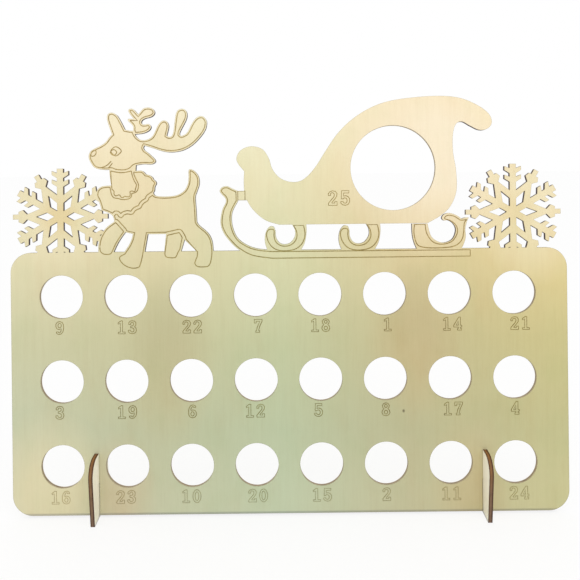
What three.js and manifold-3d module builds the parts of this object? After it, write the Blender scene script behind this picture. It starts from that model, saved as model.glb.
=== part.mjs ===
// A reusable wooden advent calendar: one plywood panel with 24 small round holes and one large
// one for chocolates, topped by a reindeer, a sleigh and two snowflakes cut from the same sheet.
// The panel leans back a little and stands in two slotted plywood feet.
// Millimetres, +Z up. The front of the calendar faces -Y.
import * as THREE from 'three';
import { mergeVertices } from 'three/addons/utils/BufferGeometryUtils.js';
import Module from 'manifold-3d';

const wasm = await Module();
wasm.setup();

// Sheet and stance
const plyThickness = 3;
const leanDegrees = 8;
const panelLift = 1.5;
const slotClearance = 0.3;
const cutOverrun = 5;

// Panel
const panelWidth = 387;
const panelHeight = 183;
const panelCornerRadius = 14;
const cornerSteps = 8;

// Holes for the small chocolates
const holeDiameter = 30;
const holeColumns = 8;
const firstColumnInset = 35;
const lastColumnInset = 37;
const lowestRowHeight = 34;
const highestRowDrop = 31;
const holeSteps = 32;

// Engraving
const engravingWidth = 0.6;
const engravingDepth = 0.5;
const numeralHeight = 9;
const numeralWidth = 5.2;
const numeralGap = 2;
const numeralDrop = 2;

// Feet
const footInset = 58.5;
const footFront = 12;
const footBack = 28;
const footHeight = 44;
const footCornerRadius = 12;
const footEngagement = 22;
const footArcSteps = 12;

// Sleigh
const sleighInset = 157.5;
const sleighRise = 17.7;
const sleighLength = 178.5;
const sleighHeight = 88.4;
const treatHoleDiameter = 59;
const treatHoleInset = 109.2;
const treatHoleRise = 38.8;
const treatHoleSteps = 64;
const treatNumeralHeight = 10.2;
const treatNumeralWidth = 6.2;
const treatNumeralInset = 71.5;
const treatNumeralRise = 13;

// Runner under the sleigh, and the struts between them
const runnerInset = 146;
const runnerLength = 175;
const runnerHeight = 51.6;
const runnerSink = 6.7;
const tieInset = 158.8;
const tieLength = 6;
const tieHeight = 6.5;
const tieRise = 35;
const strutInset = 177;
const strutPitch = 51.4;
const strutWidth = 28.8;
const tailStrutInset = 279.4;
const tailStrutWidth = 39.8;
const tailStrutHeight = 24.6;
const joinOverlap = 2;

// Reindeer, drawn in a square frame as wide as it is high
const reindeerInset = 54.5;
const reindeerHeight = 100;

// Snowflakes, over the first and the last column
const flakeRise = 25;
const flakeArms = 6;
const flakeArmLength = 33.4;
const flakeArmHalfWidth = 2.2;
const flakeBarbReach = 5.8;
const flakeBarbBases = [26.8, 20.8];
const flakeBarbRoot = 3.6;
const flakeBarbLow = 2.2;
const flakeBarbHigh = 5;
const flakeTwigLength = 33;
const flakeTwigHalfWidth = 1.75;
const flakeTwigBarbStart = 23.2;
const flakeTwigBarbEnd = 29.1;
const flakeTwigBarbReach = 4.8;
const flakeTwigBarbTip = 3.6;
const flakeForkInner = 16.9;
const flakeForkSpread = 5.9;
const flakeForkRoot = 13.4;
const flakeForkInnerSpread = 3.4;
const flakeForkInnerRoot = 7.8;

// Length of one straight step along a curved outline, and along an engraved line
const outlineStep = 2.4;
const engravingStep = 2;

// The days as they are set out on the panel, and how far each number sits off the middle of its
// hole, as a share of the column pitch.
const calendarDays = [
  [9, 13, 22, 7, 18, 1, 14, 21],
  [3, 19, 6, 12, 5, 8, 17, 4],
  [16, 23, 10, 20, 15, 2, 11, 24],
];
const numeralShiftShares = [
  [-0.03, 0.01, 0.02, 0.04, 0, 0.04, 0.04, 0.09],
  [-0.04, 0, 0.01, -0.02, -0.04, 0, 0.04, 0],
  [-0.04, -0.03, -0.02, 0.01, 0, 0, 0, 0.05],
];
const treatDay = '25';

// Outlines. Each is a ring of stretches: a stretch starts where the one before it ends, runs
// smoothly through its own points, and meets the next one at a corner. One point is a straight.

// Shares of the sleigh's length and height.
const sleighShares = [
  [
    [0.002, 0.52], [0.013, 0.577], [0.039, 0.611], [0.07, 0.619], [0.105, 0.594], [0.128, 0.527],
    [0.142, 0.44], [0.169, 0.372], [0.206, 0.339], [0.244, 0.339], [0.276, 0.376], [0.311, 0.456],
    [0.35, 0.577], [0.392, 0.7], [0.446, 0.81], [0.518, 0.905], [0.599, 0.964], [0.706, 0.993],
    [0.807, 1], [0.882, 0.979], [0.948, 0.92], [0.989, 0.852], [0.999, 0.785], [0.982, 0.739],
    [0.95, 0.729], [0.913, 0.764], [0.883, 0.796], [0.859, 0.776], [0.847, 0.692],
    [0.847, 0.559], [0.858, 0.413], [0.859, 0.258], [0.838, 0.143], [0.802, 0.066], [0.745, 0],
  ],
  [[0.166, 0]],
  [[0.11, 0.04], [0.061, 0.13], [0.035, 0.232], [0.03, 0.328], [0.032, 0.423]],
  [[0.012, 0.472]],
];

// Shares of the runner's length and height: its curled front, its foot and back along its top.
const runnerShares = [
  [
    [0.051, 0.967], [0.031, 1], [0.01, 0.988], [0, 0.936], [0.009, 0.886], [0.021, 0.843],
    [0.024, 0.787], [0.009, 0.674], [0.002, 0.51], [0.013, 0.378], [0.037, 0.262],
    [0.071, 0.149], [0.126, 0.045], [0.205, 0],
  ],
  [[1, 0]],
  [[1, 0.13]],
  [[0.205, 0.134]],
  [[0.147, 0.157], [0.104, 0.211], [0.068, 0.31], [0.049, 0.475], [0.049, 0.64], [0.072, 0.797]],
  [[0.071, 0.936]],
];
const runnerLineShares = [
  [[0.05, 0.21], [0.071, 0.149], [0.126, 0.045], [0.205, 0]],
  [[0.205, 0], [1, 0]],
  [[1, 0], [1, 0.12]],
];

// Shares of a strut's width and of the sleigh's rise over the panel.
const strutShares = [
  [[1.014, 0.689], [0.965, 0.316], [0.83, 0]],
  [[0.09, 0]],
  [[0.01, 0.311], [0.007, 0.565], [0.059, 0.763], [0.142, 0.87], [0.229, 0.842]],
  [
    [0.264, 0.706], [0.274, 0.52], [0.344, 0.35], [0.469, 0.282], [0.622, 0.339],
    [0.729, 0.542], [0.722, 0.768], [0.618, 1],
  ],
  [[1, 1]],
];

// Shares of the tail strut's width and height.
const tailStrutShares = [
  [[0.008, 0.447], [0.043, 0.211], [0.108, 0]],
  [[0.829, 0]],
  [[0.894, 0.146], [0.94, 0.358], [0.937, 0.589], [0.965, 0.772]],
  [[1, 0.878]],
  [[0.932, 0.878], [0.872, 0.846]],
  [
    [0.789, 0.935], [0.668, 1], [0.57, 0.972], [0.525, 0.878], [0.56, 0.805], [0.636, 0.809],
    [0.724, 0.724], [0.769, 0.553], [0.704, 0.313], [0.528, 0.228], [0.347, 0.378],
    [0.276, 0.73],
  ],
  [[0, 0.73]],
];

// Shares of the reindeer's height, from the panel's top edge up.
const reindeerShares = [
  // far foreleg, chest side
  [[0.066, 0.037], [0.074, 0.085], [0.095, 0.132], [0.127, 0.173], [0.18, 0.212]],
  // ruff, left side
  [[0.17, 0.25], [0.14, 0.272], [0.092, 0.29]],
  [[0.082, 0.33], [0.07, 0.362], [0.056, 0.393], [0.064, 0.432], [0.098, 0.457], [0.161, 0.463]],
  // throat
  [[0.153, 0.52], [0.149, 0.573]],
  // jaw, muzzle and brow
  [
    [0.1, 0.574], [0.05, 0.586], [0.022, 0.62], [0.006, 0.662], [0.018, 0.7], [0.05, 0.722],
    [0.085, 0.738], [0.122, 0.762], [0.152, 0.8], [0.17, 0.818],
  ],
  // front ear
  [
    [0.152, 0.87], [0.137, 0.922], [0.142, 0.958], [0.17, 0.97], [0.207, 0.95], [0.239, 0.895],
    [0.261, 0.85],
  ],
  [[0.297, 0.843], [0.318, 0.842]],
  // far antler
  [[0.318, 0.872], [0.303, 0.891], [0.285, 0.908], [0.281, 0.922], [0.295, 0.926], [0.322, 0.925]],
  [
    [0.3, 0.952], [0.285, 0.979], [0.29, 0.992], [0.305, 0.996], [0.323, 0.99], [0.34, 0.972],
    [0.354, 0.956],
  ],
  [
    [0.37, 0.974], [0.388, 0.994], [0.41, 1.002], [0.433, 1.002], [0.456, 0.993], [0.469, 0.974],
    [0.466, 0.957], [0.45, 0.941], [0.428, 0.933], [0.4, 0.926], [0.381, 0.914], [0.375, 0.899],
    [0.383, 0.886], [0.402, 0.885], [0.424, 0.888], [0.44, 0.877], [0.442, 0.862],
    [0.431, 0.845], [0.406, 0.83], [0.377, 0.822], [0.346, 0.819], [0.329, 0.817],
  ],
  // near antler and its three tines
  [
    [0.34, 0.8], [0.358, 0.784], [0.375, 0.777], [0.396, 0.776], [0.424, 0.783], [0.446, 0.797],
    [0.46, 0.815], [0.472, 0.84], [0.486, 0.87], [0.502, 0.895], [0.523, 0.91], [0.545, 0.909],
    [0.56, 0.895], [0.566, 0.87], [0.56, 0.84], [0.551, 0.805],
  ],
  [
    [0.568, 0.797], [0.585, 0.802], [0.594, 0.82], [0.6, 0.846], [0.605, 0.888], [0.61, 0.922],
    [0.616, 0.955], [0.629, 0.981], [0.651, 0.991], [0.673, 0.989], [0.689, 0.975],
    [0.695, 0.95], [0.69, 0.921], [0.676, 0.891], [0.658, 0.858], [0.643, 0.828], [0.641, 0.811],
  ],
  [
    [0.652, 0.803], [0.668, 0.808], [0.688, 0.82], [0.705, 0.845], [0.721, 0.878],
    [0.742, 0.911], [0.764, 0.931], [0.79, 0.939], [0.812, 0.932], [0.828, 0.91], [0.831, 0.888],
    [0.825, 0.856], [0.81, 0.826], [0.784, 0.792], [0.75, 0.756], [0.711, 0.726], [0.664, 0.703],
    [0.614, 0.692], [0.575, 0.69], [0.537, 0.694], [0.495, 0.705], [0.453, 0.72], [0.419, 0.731],
    [0.394, 0.738],
  ],
  // back ear
  [
    [0.388, 0.722], [0.398, 0.704], [0.419, 0.689], [0.44, 0.67], [0.462, 0.648], [0.472, 0.63],
    [0.462, 0.615], [0.436, 0.607], [0.384, 0.609], [0.335, 0.602],
  ],
  [[0.332, 0.563]],
  // ruff, right side, in four scallops
  [[0.371, 0.564], [0.392, 0.552], [0.403, 0.538]],
  [[0.425, 0.533], [0.448, 0.518], [0.455, 0.503]],
  [[0.47, 0.49], [0.476, 0.473], [0.466, 0.455]],
  [[0.463, 0.441], [0.462, 0.425], [0.453, 0.408]],
  // back, tail and rump
  [
    [0.47, 0.388], [0.537, 0.382], [0.614, 0.39], [0.666, 0.419], [0.693, 0.464], [0.7, 0.515],
    [0.7, 0.558], [0.713, 0.571], [0.745, 0.554], [0.771, 0.515], [0.774, 0.463], [0.757, 0.412],
    [0.746, 0.373], [0.751, 0.283], [0.754, 0.205],
  ],
  // near hind leg, outer side, down into the panel and back along it
  [[0.77, 0.18], [0.82, 0.137], [0.846, 0.103], [0.862, 0.055], [0.868, -0.02]],
  [[0.068, -0.02]],
];

// The three openings between the legs; each reaches down into the panel, which closes it.
const legGapShares = [
  [
    [[0.308, 0.124]],
    [[0.299, 0.088], [0.28, 0.047], [0.257, 0.013], [0.243, -0.01]],
    [[0.172, -0.01]],
    [[0.178, 0.009], [0.202, 0.058], [0.23, 0.102], [0.256, 0.136]],
  ],
  [[[0.412, 0.121]], [[0.539, 0.121]], [[0.524, -0.01]], [[0.388, -0.01]]],
  [[[0.667, 0.08]], [[0.739, 0.01]], [[0.752, -0.01]], [[0.64, -0.01]]],
];

// Engraved lines where the legs run on below the panel's top edge.
const hoofLineShares = [
  [[0.19, 0.01], [0.178, -0.002], [0.145, -0.021], [0.106, -0.018], [0.08, -0.002], [0.076, 0.02]],
  [
    [0.275, 0.017], [0.222, -0.028], [0.216, -0.06], [0.248, -0.099], [0.299, -0.115],
    [0.344, -0.111], [0.367, -0.068], [0.391, 0.015],
  ],
  [
    [0.53, 0.05], [0.524, -0.005], [0.539, -0.038], [0.59, -0.049], [0.623, -0.039],
    [0.642, -0.007], [0.655, 0.03],
  ],
  [
    [0.72, 0.04], [0.752, -0.02], [0.738, -0.07], [0.757, -0.105], [0.815, -0.112],
    [0.848, -0.086], [0.86, -0.029], [0.861, 0.03],
  ],
];

// Strokes of the ten figures, as shares of a numeral's width and height. A stroke that ends where
// it starts is a closed loop, and those run anticlockwise.
const lowerLoopShares = [
  [0.25, 0], [0.75, 0], [1, 0.18], [1, 0.4], [0.75, 0.55], [0.25, 0.55], [0, 0.4], [0, 0.18],
  [0.25, 0],
];
const sixStrokeShares = [lowerLoopShares, [[0, 0.3], [0, 0.7], [0.3, 1], [0.85, 1]]];
const numeralStrokeShares = [
  [
    [
      [0.25, 0], [0.75, 0], [1, 0.2], [1, 0.8], [0.75, 1], [0.25, 1], [0, 0.8], [0, 0.2],
      [0.25, 0],
    ],
  ],
  [[[0.15, 0.75], [0.5, 1], [0.5, 0]], [[0.15, 0], [0.85, 0]]],
  [[[0, 0.8], [0.2, 1], [0.8, 1], [1, 0.8], [1, 0.6], [0, 0]], [[0, 0], [1, 0]]],
  [
    [[0, 0.85], [0.2, 1], [0.75, 1], [1, 0.82], [1, 0.68], [0.75, 0.53], [0.35, 0.53]],
    [[0.75, 0.53], [1, 0.38], [1, 0.15], [0.75, 0], [0.2, 0], [0, 0.15]],
  ],
  [[[0.75, 0], [0.75, 1]], [[0.75, 1], [0, 0.3]], [[0, 0.3], [1, 0.3]]],
  [
    [
      [1, 1], [0.1, 1], [0.05, 0.55], [0.75, 0.6], [1, 0.42], [1, 0.18], [0.75, 0], [0.2, 0],
      [0, 0.12],
    ],
  ],
  sixStrokeShares,
  [[[0, 1], [1, 1], [0.4, 0]]],
  [
    lowerLoopShares,
    [
      [0.25, 0.55], [0.08, 0.68], [0.08, 0.88], [0.25, 1], [0.75, 1], [0.92, 0.88], [0.92, 0.68],
      [0.75, 0.55],
    ],
  ],
  sixStrokeShares.map((stroke) => stroke.map(([across, up]) => [1 - across, 1 - up])),
];

// Places that follow from the sizes. On the panel, x runs from its middle, y up its face from
// the bottom edge, and z out of its front face.
const lean = THREE.MathUtils.degToRad(leanDegrees);
const panelLeft = -panelWidth / 2;
const footMiddle = panelWidth / 2 - footInset;
const columnPitch = (panelWidth - firstColumnInset - lastColumnInset) / (holeColumns - 1);
const rowPitch = (panelHeight - lowestRowHeight - highestRowDrop) / (calendarDays.length - 1);

// A closed geometry as a solid that can be joined and cut.
function solidOf(geometry) {
  const bare = geometry.clone();
  bare.deleteAttribute('normal');
  bare.deleteAttribute('uv');
  const merged = mergeVertices(bare);
  const mesh = new wasm.Mesh({
    numProp: 3,
    vertProperties: merged.attributes.position.array,
    triVerts: new Uint32Array(merged.index.array),
  });
  return new wasm.Manifold(mesh);
}

// A solid as a geometry again.
function geometryOf(solid) {
  const mesh = solid.getMesh();
  const geometry = new THREE.BufferGeometry();
  geometry.setAttribute('position', new THREE.BufferAttribute(mesh.vertProperties, 3));
  geometry.setIndex(new THREE.BufferAttribute(mesh.triVerts, 1));
  geometry.computeVertexNormals();
  return geometry;
}

// A flat shape made solid from one height to another.
function slab(shape, low, high, curveSegments) {
  const settings = { depth: high - low, bevelEnabled: false, curveSegments };
  return solidOf(new THREE.ExtrudeGeometry(shape, settings).translate(0, 0, low));
}

// A piece of the sheet, and a cut that runs through it.
function sheet(shape) {
  return slab(shape, -plyThickness, 0);
}

function throughCut(shape) {
  return slab(shape, -plyThickness - cutOverrun, cutOverrun);
}

// Points placed from shares of a width and a height, from the frame's lower left corner.
function placed(shares, corner, width, height) {
  return shares.map(([across, up]) =>
    new THREE.Vector2(corner.x + across * width, corner.y + up * height));
}

// Evenly spaced points along a smooth line through the given ones.
function smooth(points, step) {
  if (points.length < 3) {
    return points;
  }
  const curve = new THREE.SplineCurve(points);
  return curve.getSpacedPoints(Math.max(points.length - 1, Math.round(curve.getLength() / step)));
}

// The ring of points of an outline that is given in stretches.
function ring(stretches, corner, width, height) {
  let last = placed(stretches.at(-1), corner, width, height).at(-1);
  const points = [];
  for (const stretch of stretches) {
    const knots = [last, ...placed(stretch, corner, width, height)];
    points.push(...smooth(knots, outlineStep).slice(1));
    last = knots.at(-1);
  }
  return points;
}

function rectangle(left, bottom, right, top) {
  return new THREE.Shape([
    new THREE.Vector2(left, bottom),
    new THREE.Vector2(right, bottom),
    new THREE.Vector2(right, top),
    new THREE.Vector2(left, top),
  ]);
}

function disc(centre, diameter, steps) {
  const points = [];
  for (let step = 0; step < steps; step += 1) {
    const angle = (2 * Math.PI * step) / steps;
    const arm = new THREE.Vector2(Math.cos(angle), Math.sin(angle));
    points.push(arm.multiplyScalar(diameter / 2).add(centre));
  }
  return new THREE.Shape(points);
}

// The panel's rectangle with its four round corners.
function panelShape() {
  const shape = new THREE.Shape();
  const side = panelWidth / 2 - panelCornerRadius;
  const low = panelCornerRadius;
  const high = panelHeight - panelCornerRadius;
  const quarter = Math.PI / 2;
  shape.absarc(side, low, panelCornerRadius, -quarter, 0, false);
  shape.absarc(side, high, panelCornerRadius, 0, quarter, false);
  shape.absarc(-side, high, panelCornerRadius, quarter, 2 * quarter, false);
  shape.absarc(-side, low, panelCornerRadius, 2 * quarter, 3 * quarter, false);
  return shape;
}

// The sleigh's body, its runner, the tie between them and the three struts.
function sleighPieces() {
  const body = new THREE.Vector2(panelLeft + sleighInset, panelHeight + sleighRise);
  const runner = new THREE.Vector2(panelLeft + runnerInset, panelHeight - runnerSink);
  const tie = new THREE.Vector2(panelLeft + tieInset, panelHeight + tieRise);
  const pieces = [
    sheet(new THREE.Shape(ring(sleighShares, body, sleighLength, sleighHeight))),
    sheet(new THREE.Shape(ring(runnerShares, runner, runnerLength, runnerHeight))),
    sheet(rectangle(tie.x - joinOverlap, tie.y, tie.x + tieLength, tie.y + tieHeight)),
  ];
  const strutReach = sleighRise + 2 * joinOverlap;
  for (const inset of [strutInset, strutInset + strutPitch]) {
    const corner = new THREE.Vector2(panelLeft + inset, panelHeight - joinOverlap);
    pieces.push(sheet(new THREE.Shape(ring(strutShares, corner, strutWidth, strutReach))));
  }
  const tail = new THREE.Vector2(panelLeft + tailStrutInset, panelHeight - joinOverlap);
  const tailReach = tailStrutHeight + joinOverlap;
  pieces.push(sheet(new THREE.Shape(ring(tailStrutShares, tail, tailStrutWidth, tailReach))));
  return pieces;
}

function reindeerCorner() {
  return new THREE.Vector2(panelLeft + reindeerInset, panelHeight);
}

function reindeerPiece() {
  const outline = (shares) =>
    new THREE.Shape(ring(shares, reindeerCorner(), reindeerHeight, reindeerHeight));
  const gaps = legGapShares.map((shares) => throughCut(outline(shares)));
  return gaps.reduce((figure, gap) => figure.subtract(gap), sheet(outline(reindeerShares)));
}

// The right half of a flake's arm that points up, from the tip down, and its mirror image.
function bothSides(half) {
  const left = half.map(([across, up]) => new THREE.Vector2(-across, up)).reverse();
  return [...half.map(([across, up]) => new THREE.Vector2(across, up)), ...left];
}

function flakeArm() {
  const half = [[flakeArmHalfWidth, flakeArmLength]];
  for (const base of flakeBarbBases) {
    half.push([flakeArmHalfWidth, base + flakeBarbRoot]);
    half.push([flakeBarbReach, base + flakeBarbHigh]);
    half.push([flakeBarbReach, base + flakeBarbLow]);
    half.push([flakeArmHalfWidth, base]);
  }
  half.push([flakeArmHalfWidth, 0]);
  return bothSides(half);
}

// The thinner arm between two main ones, with the fork that ties it to both.
function flakeTwig() {
  const half = [
    [flakeTwigHalfWidth, flakeTwigLength],
    [flakeTwigHalfWidth, flakeTwigBarbEnd],
    [flakeTwigBarbTip, flakeTwigBarbEnd],
    [flakeTwigBarbReach, (flakeTwigBarbStart + flakeTwigBarbEnd) / 2],
    [flakeTwigHalfWidth, flakeTwigBarbStart],
    [flakeForkSpread, flakeForkRoot],
    [flakeForkInnerSpread, flakeForkInnerRoot],
  ];
  return bothSides(half).toSpliced(half.length, 0, new THREE.Vector2(0, flakeForkInner));
}

function flakePieces(centre) {
  const pieces = [];
  const middle = new THREE.Vector2();
  const place = (points, turn) => {
    const turned = points.map((point) => point.clone().rotateAround(middle, turn).add(centre));
    pieces.push(sheet(new THREE.Shape(turned)));
  };
  for (let arm = 0; arm < flakeArms; arm += 1) {
    const turn = (2 * Math.PI * arm) / flakeArms;
    place(flakeArm(), turn);
    place(flakeTwig(), turn + Math.PI / flakeArms);
  }
  return pieces;
}

function holeCentre(column, row) {
  const across = panelLeft + firstColumnInset + column * columnPitch;
  return new THREE.Vector2(across, lowestRowHeight + row * rowPitch);
}

function treatHoleCentre() {
  const across = panelLeft + sleighInset + treatHoleInset;
  return new THREE.Vector2(across, panelHeight + sleighRise + treatHoleRise);
}

// A line's points set off to its left by a distance, mitred where it turns.
function offset(points, distance, closed) {
  return points.map((point, index) => {
    const before = closed ? points.at(index - 1) : points[Math.max(index - 1, 0)];
    const after = closed ? points[(index + 1) % points.length] : points[index + 1] ?? point;
    const incoming = point.clone().sub(before).normalize();
    const outgoing = after.clone().sub(point).normalize();
    const along = incoming.clone().add(outgoing).normalize();
    const straight = incoming.lengthSq() > 0 ? incoming : outgoing;
    const left = new THREE.Vector2(-along.y, along.x);
    return point.clone().addScaledVector(left, distance / along.dot(straight));
  });
}

// A shallow groove along a line. A line that ends where it starts makes a closed groove.
function groove(line) {
  const half = engravingWidth / 2;
  const closed = line[0].equals(line.at(-1));
  const points = closed ? line.slice(1) : line;
  const left = offset(points, half, closed);
  const right = offset(points, -half, closed);
  const shape = new THREE.Shape(closed ? right : [...left, ...right.reverse()]);
  if (closed) {
    shape.holes.push(new THREE.Path(left));
  }
  return slab(shape, -engravingDepth, cutOverrun);
}

function grooves(strokes, corner, width, height) {
  return strokes.map((stroke) => groove(placed(stroke, corner, width, height)));
}

function smoothGrooves(lines, corner, width, height) {
  return lines.map((line) => groove(smooth(placed(line, corner, width, height), engravingStep)));
}

// A number engraved with the middle of its top edge at the given point.
function numberGrooves(number, top, width, height) {
  const figures = [...String(number)].map(Number);
  const pitch = width + numeralGap;
  const start = top.x - (figures.length * pitch - numeralGap) / 2;
  return figures.flatMap((figure, index) => {
    const corner = new THREE.Vector2(start + index * pitch, top.y - height);
    return grooves(numeralStrokeShares[figure], corner, width, height);
  });
}

function dayGrooves() {
  const cuts = [];
  calendarDays.forEach((days, line) => {
    const row = calendarDays.length - 1 - line;
    days.forEach((day, column) => {
      const top = holeCentre(column, row);
      top.x += numeralShiftShares[line][column] * columnPitch;
      top.y -= holeDiameter / 2 + numeralDrop;
      cuts.push(...numberGrooves(day, top, numeralWidth, numeralHeight));
    });
  });
  const sleigh = new THREE.Vector2(panelLeft + sleighInset, panelHeight + sleighRise);
  const top = sleigh.add(new THREE.Vector2(treatNumeralInset, treatNumeralRise + treatNumeralHeight));
  cuts.push(...numberGrooves(treatDay, top, treatNumeralWidth, treatNumeralHeight));
  return cuts;
}

function figureGrooves() {
  const runner = new THREE.Vector2(panelLeft + runnerInset, panelHeight - runnerSink);
  return [
    ...smoothGrooves(runnerLineShares, runner, runnerLength, runnerHeight),
    ...smoothGrooves(hoofLineShares, reindeerCorner(), reindeerHeight, reindeerHeight),
  ];
}

// The slots in the panel's bottom edge that take the feet.
function panelSlots() {
  const half = plyThickness / 2 + slotClearance;
  return [-footMiddle, footMiddle].map((middle) =>
    throughCut(rectangle(middle - half, -cutOverrun, middle + half, footEngagement)));
}

function panelSolid() {
  const flakes = [holeCentre(0, 0).x, holeCentre(holeColumns - 1, 0).x];
  const pieces = [
    slab(panelShape(), -plyThickness, 0, cornerSteps),
    reindeerPiece(),
    ...sleighPieces(),
    ...flakes.flatMap((across) => flakePieces(new THREE.Vector2(across, panelHeight + flakeRise))),
  ];
  const treatHole = throughCut(disc(treatHoleCentre(), treatHoleDiameter, treatHoleSteps));
  const cuts = [treatHole, ...panelSlots()];
  for (let row = 0; row < calendarDays.length; row += 1) {
    for (let column = 0; column < holeColumns; column += 1) {
      cuts.push(throughCut(disc(holeCentre(column, row), holeDiameter, holeSteps)));
    }
  }
  cuts.push(...dayGrooves(), ...figureGrooves());
  const joined = pieces.reduce((whole, piece) => whole.add(piece));
  return cuts.reduce((whole, cut) => whole.subtract(cut), joined);
}

// A foot, drawn from the side with its round top corners: its x runs back from the panel's front
// bottom edge and its y up from the table. The slot follows the leaning panel down to the seat.
function footShape() {
  const radius = footCornerRadius;
  const level = footHeight - radius;
  const quarter = Math.PI / 2;
  const shape = new THREE.Shape();
  shape.moveTo(-footFront, 0);
  shape.lineTo(footBack, 0);
  shape.absarc(footBack - radius, level, radius, 0, quarter, false);
  shape.absarc(radius - footFront, level, radius, quarter, 2 * quarter, false);
  return shape;
}

function footSlot() {
  const up = new THREE.Vector2(Math.sin(lean), Math.cos(lean));
  const back = new THREE.Vector2(Math.cos(lean), -Math.sin(lean));
  const start = new THREE.Vector2(0, panelLift);
  const seat = footEngagement - slotClearance;
  const corner = (behind, along) =>
    start.clone().addScaledVector(back, behind).addScaledVector(up, along);
  return new THREE.Shape([
    corner(-slotClearance, seat),
    corner(plyThickness + slotClearance, seat),
    corner(plyThickness + slotClearance, footHeight + cutOverrun),
    corner(-slotClearance, footHeight + cutOverrun),
  ]);
}

function footSolid() {
  const half = plyThickness / 2;
  const plate = slab(footShape(), -half, half, footArcSteps);
  return plate.subtract(slab(footSlot(), -half - cutOverrun, half + cutOverrun));
}

function plywood(colour) {
  return new THREE.MeshStandardMaterial({ color: colour, roughness: 0.75, metalness: 0 });
}

function namedMesh(name, solid, colour) {
  const mesh = new THREE.Mesh(geometryOf(solid), plywood(colour));
  mesh.name = name;
  return mesh;
}

const panel = namedMesh('calendar_panel', panelSolid(), 0xddd2a2);
panel.rotation.x = Math.PI / 2 - lean;
panel.position.z = panelLift;

const feet = [['left_foot', -footMiddle], ['right_foot', footMiddle]].map(([name, across]) => {
  const foot = namedMesh(name, footSolid(), 0xe8dcb4);
  foot.rotation.set(Math.PI / 2, Math.PI / 2, 0);
  foot.position.x = across;
  return foot;
});

// The finished calendar stands with the middle of its footprint on the origin.
const calendar = new THREE.Group();
calendar.add(panel, ...feet);
calendar.position.y = -new THREE.Box3().setFromObject(calendar, true).getCenter(new THREE.Vector3()).y;

export default calendar;
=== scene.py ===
"""The looks of a reusable wooden advent calendar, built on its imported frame.

One panel cut from 3 mm plywood carries 24 day holes with engraved numbers and is topped by a
reindeer, a sleigh and two snowflakes of the same sheet. It leans back in two slotted feet.
Outlines are given in millimetres on the sheet: x from its middle, y up its face from the bottom
edge, z out of the front. Everything is then placed in metres in the frame's own axes.
"""
import logging
import math
from collections.abc import Callable, Iterable, Iterator, Sequence
from contextlib import contextmanager
from dataclasses import dataclass
from enum import Enum

import bpy
import numpy as np
from mathutils import Matrix, Vector


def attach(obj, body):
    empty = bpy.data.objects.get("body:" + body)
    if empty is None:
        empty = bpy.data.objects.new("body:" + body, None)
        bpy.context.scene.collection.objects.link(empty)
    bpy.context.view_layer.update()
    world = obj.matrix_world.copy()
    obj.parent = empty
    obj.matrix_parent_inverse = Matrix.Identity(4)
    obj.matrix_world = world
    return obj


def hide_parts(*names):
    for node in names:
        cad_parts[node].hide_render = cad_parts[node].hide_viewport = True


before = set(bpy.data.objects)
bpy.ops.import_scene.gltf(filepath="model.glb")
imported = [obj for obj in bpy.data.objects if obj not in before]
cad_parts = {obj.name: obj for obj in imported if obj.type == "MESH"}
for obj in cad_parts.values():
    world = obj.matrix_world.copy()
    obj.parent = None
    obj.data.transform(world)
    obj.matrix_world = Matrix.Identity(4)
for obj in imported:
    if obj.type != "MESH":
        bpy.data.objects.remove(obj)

LOG = logging.getLogger("calendar")
MILLIMETRE = 0.001

Point = tuple[float, float]
Shares = tuple[Point, ...]
Stretches = tuple[Shares, ...]
Place = tuple[float, float, float]
Colour = tuple[float, float, float]
Stop = tuple[float, Colour]

WHITE: Colour = (255, 255, 255)


# Outlines on the sheet
def smooth(knots: Sequence[Point], step: float, parts: int = 16) -> list[Point]:
    """Run a smooth line through its knots.

    Args:
        knots: the points that the line passes, in millimetres.
        step: the spacing of the points returned.
        parts: how finely each stretch between two knots is worked out before it is spaced.

    Returns:
        Evenly spaced points from the first knot to the last.
    """
    if len(knots) < 3:
        return list(knots)
    path = np.array([knots[0], *knots, knots[-1]], dtype=float)
    share = np.linspace(0.0, 1.0, parts, endpoint=False)[:, None]
    fine = []
    for index in range(1, len(path) - 2):
        before, start, end, after = path[index - 1:index + 3]
        leave, arrive = (end - before) / 2, (after - start) / 2
        cube = 2 * start - 2 * end + leave + arrive
        square = -3 * start + 3 * end - 2 * leave - arrive
        fine.append(cube * share**3 + square * share**2 + leave * share + start)
    dense = np.vstack([*fine, path[-1:]])
    walked = np.concatenate([[0.0], np.cumsum(np.linalg.norm(np.diff(dense, axis=0), axis=1))])
    count = max(len(knots) - 1, round(walked[-1] / step))
    marks = np.linspace(0.0, walked[-1], count + 1)
    across = np.interp(marks, walked, dense[:, 0])
    up = np.interp(marks, walked, dense[:, 1])
    return [(float(x), float(y)) for x, y in zip(across, up)]


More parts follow.
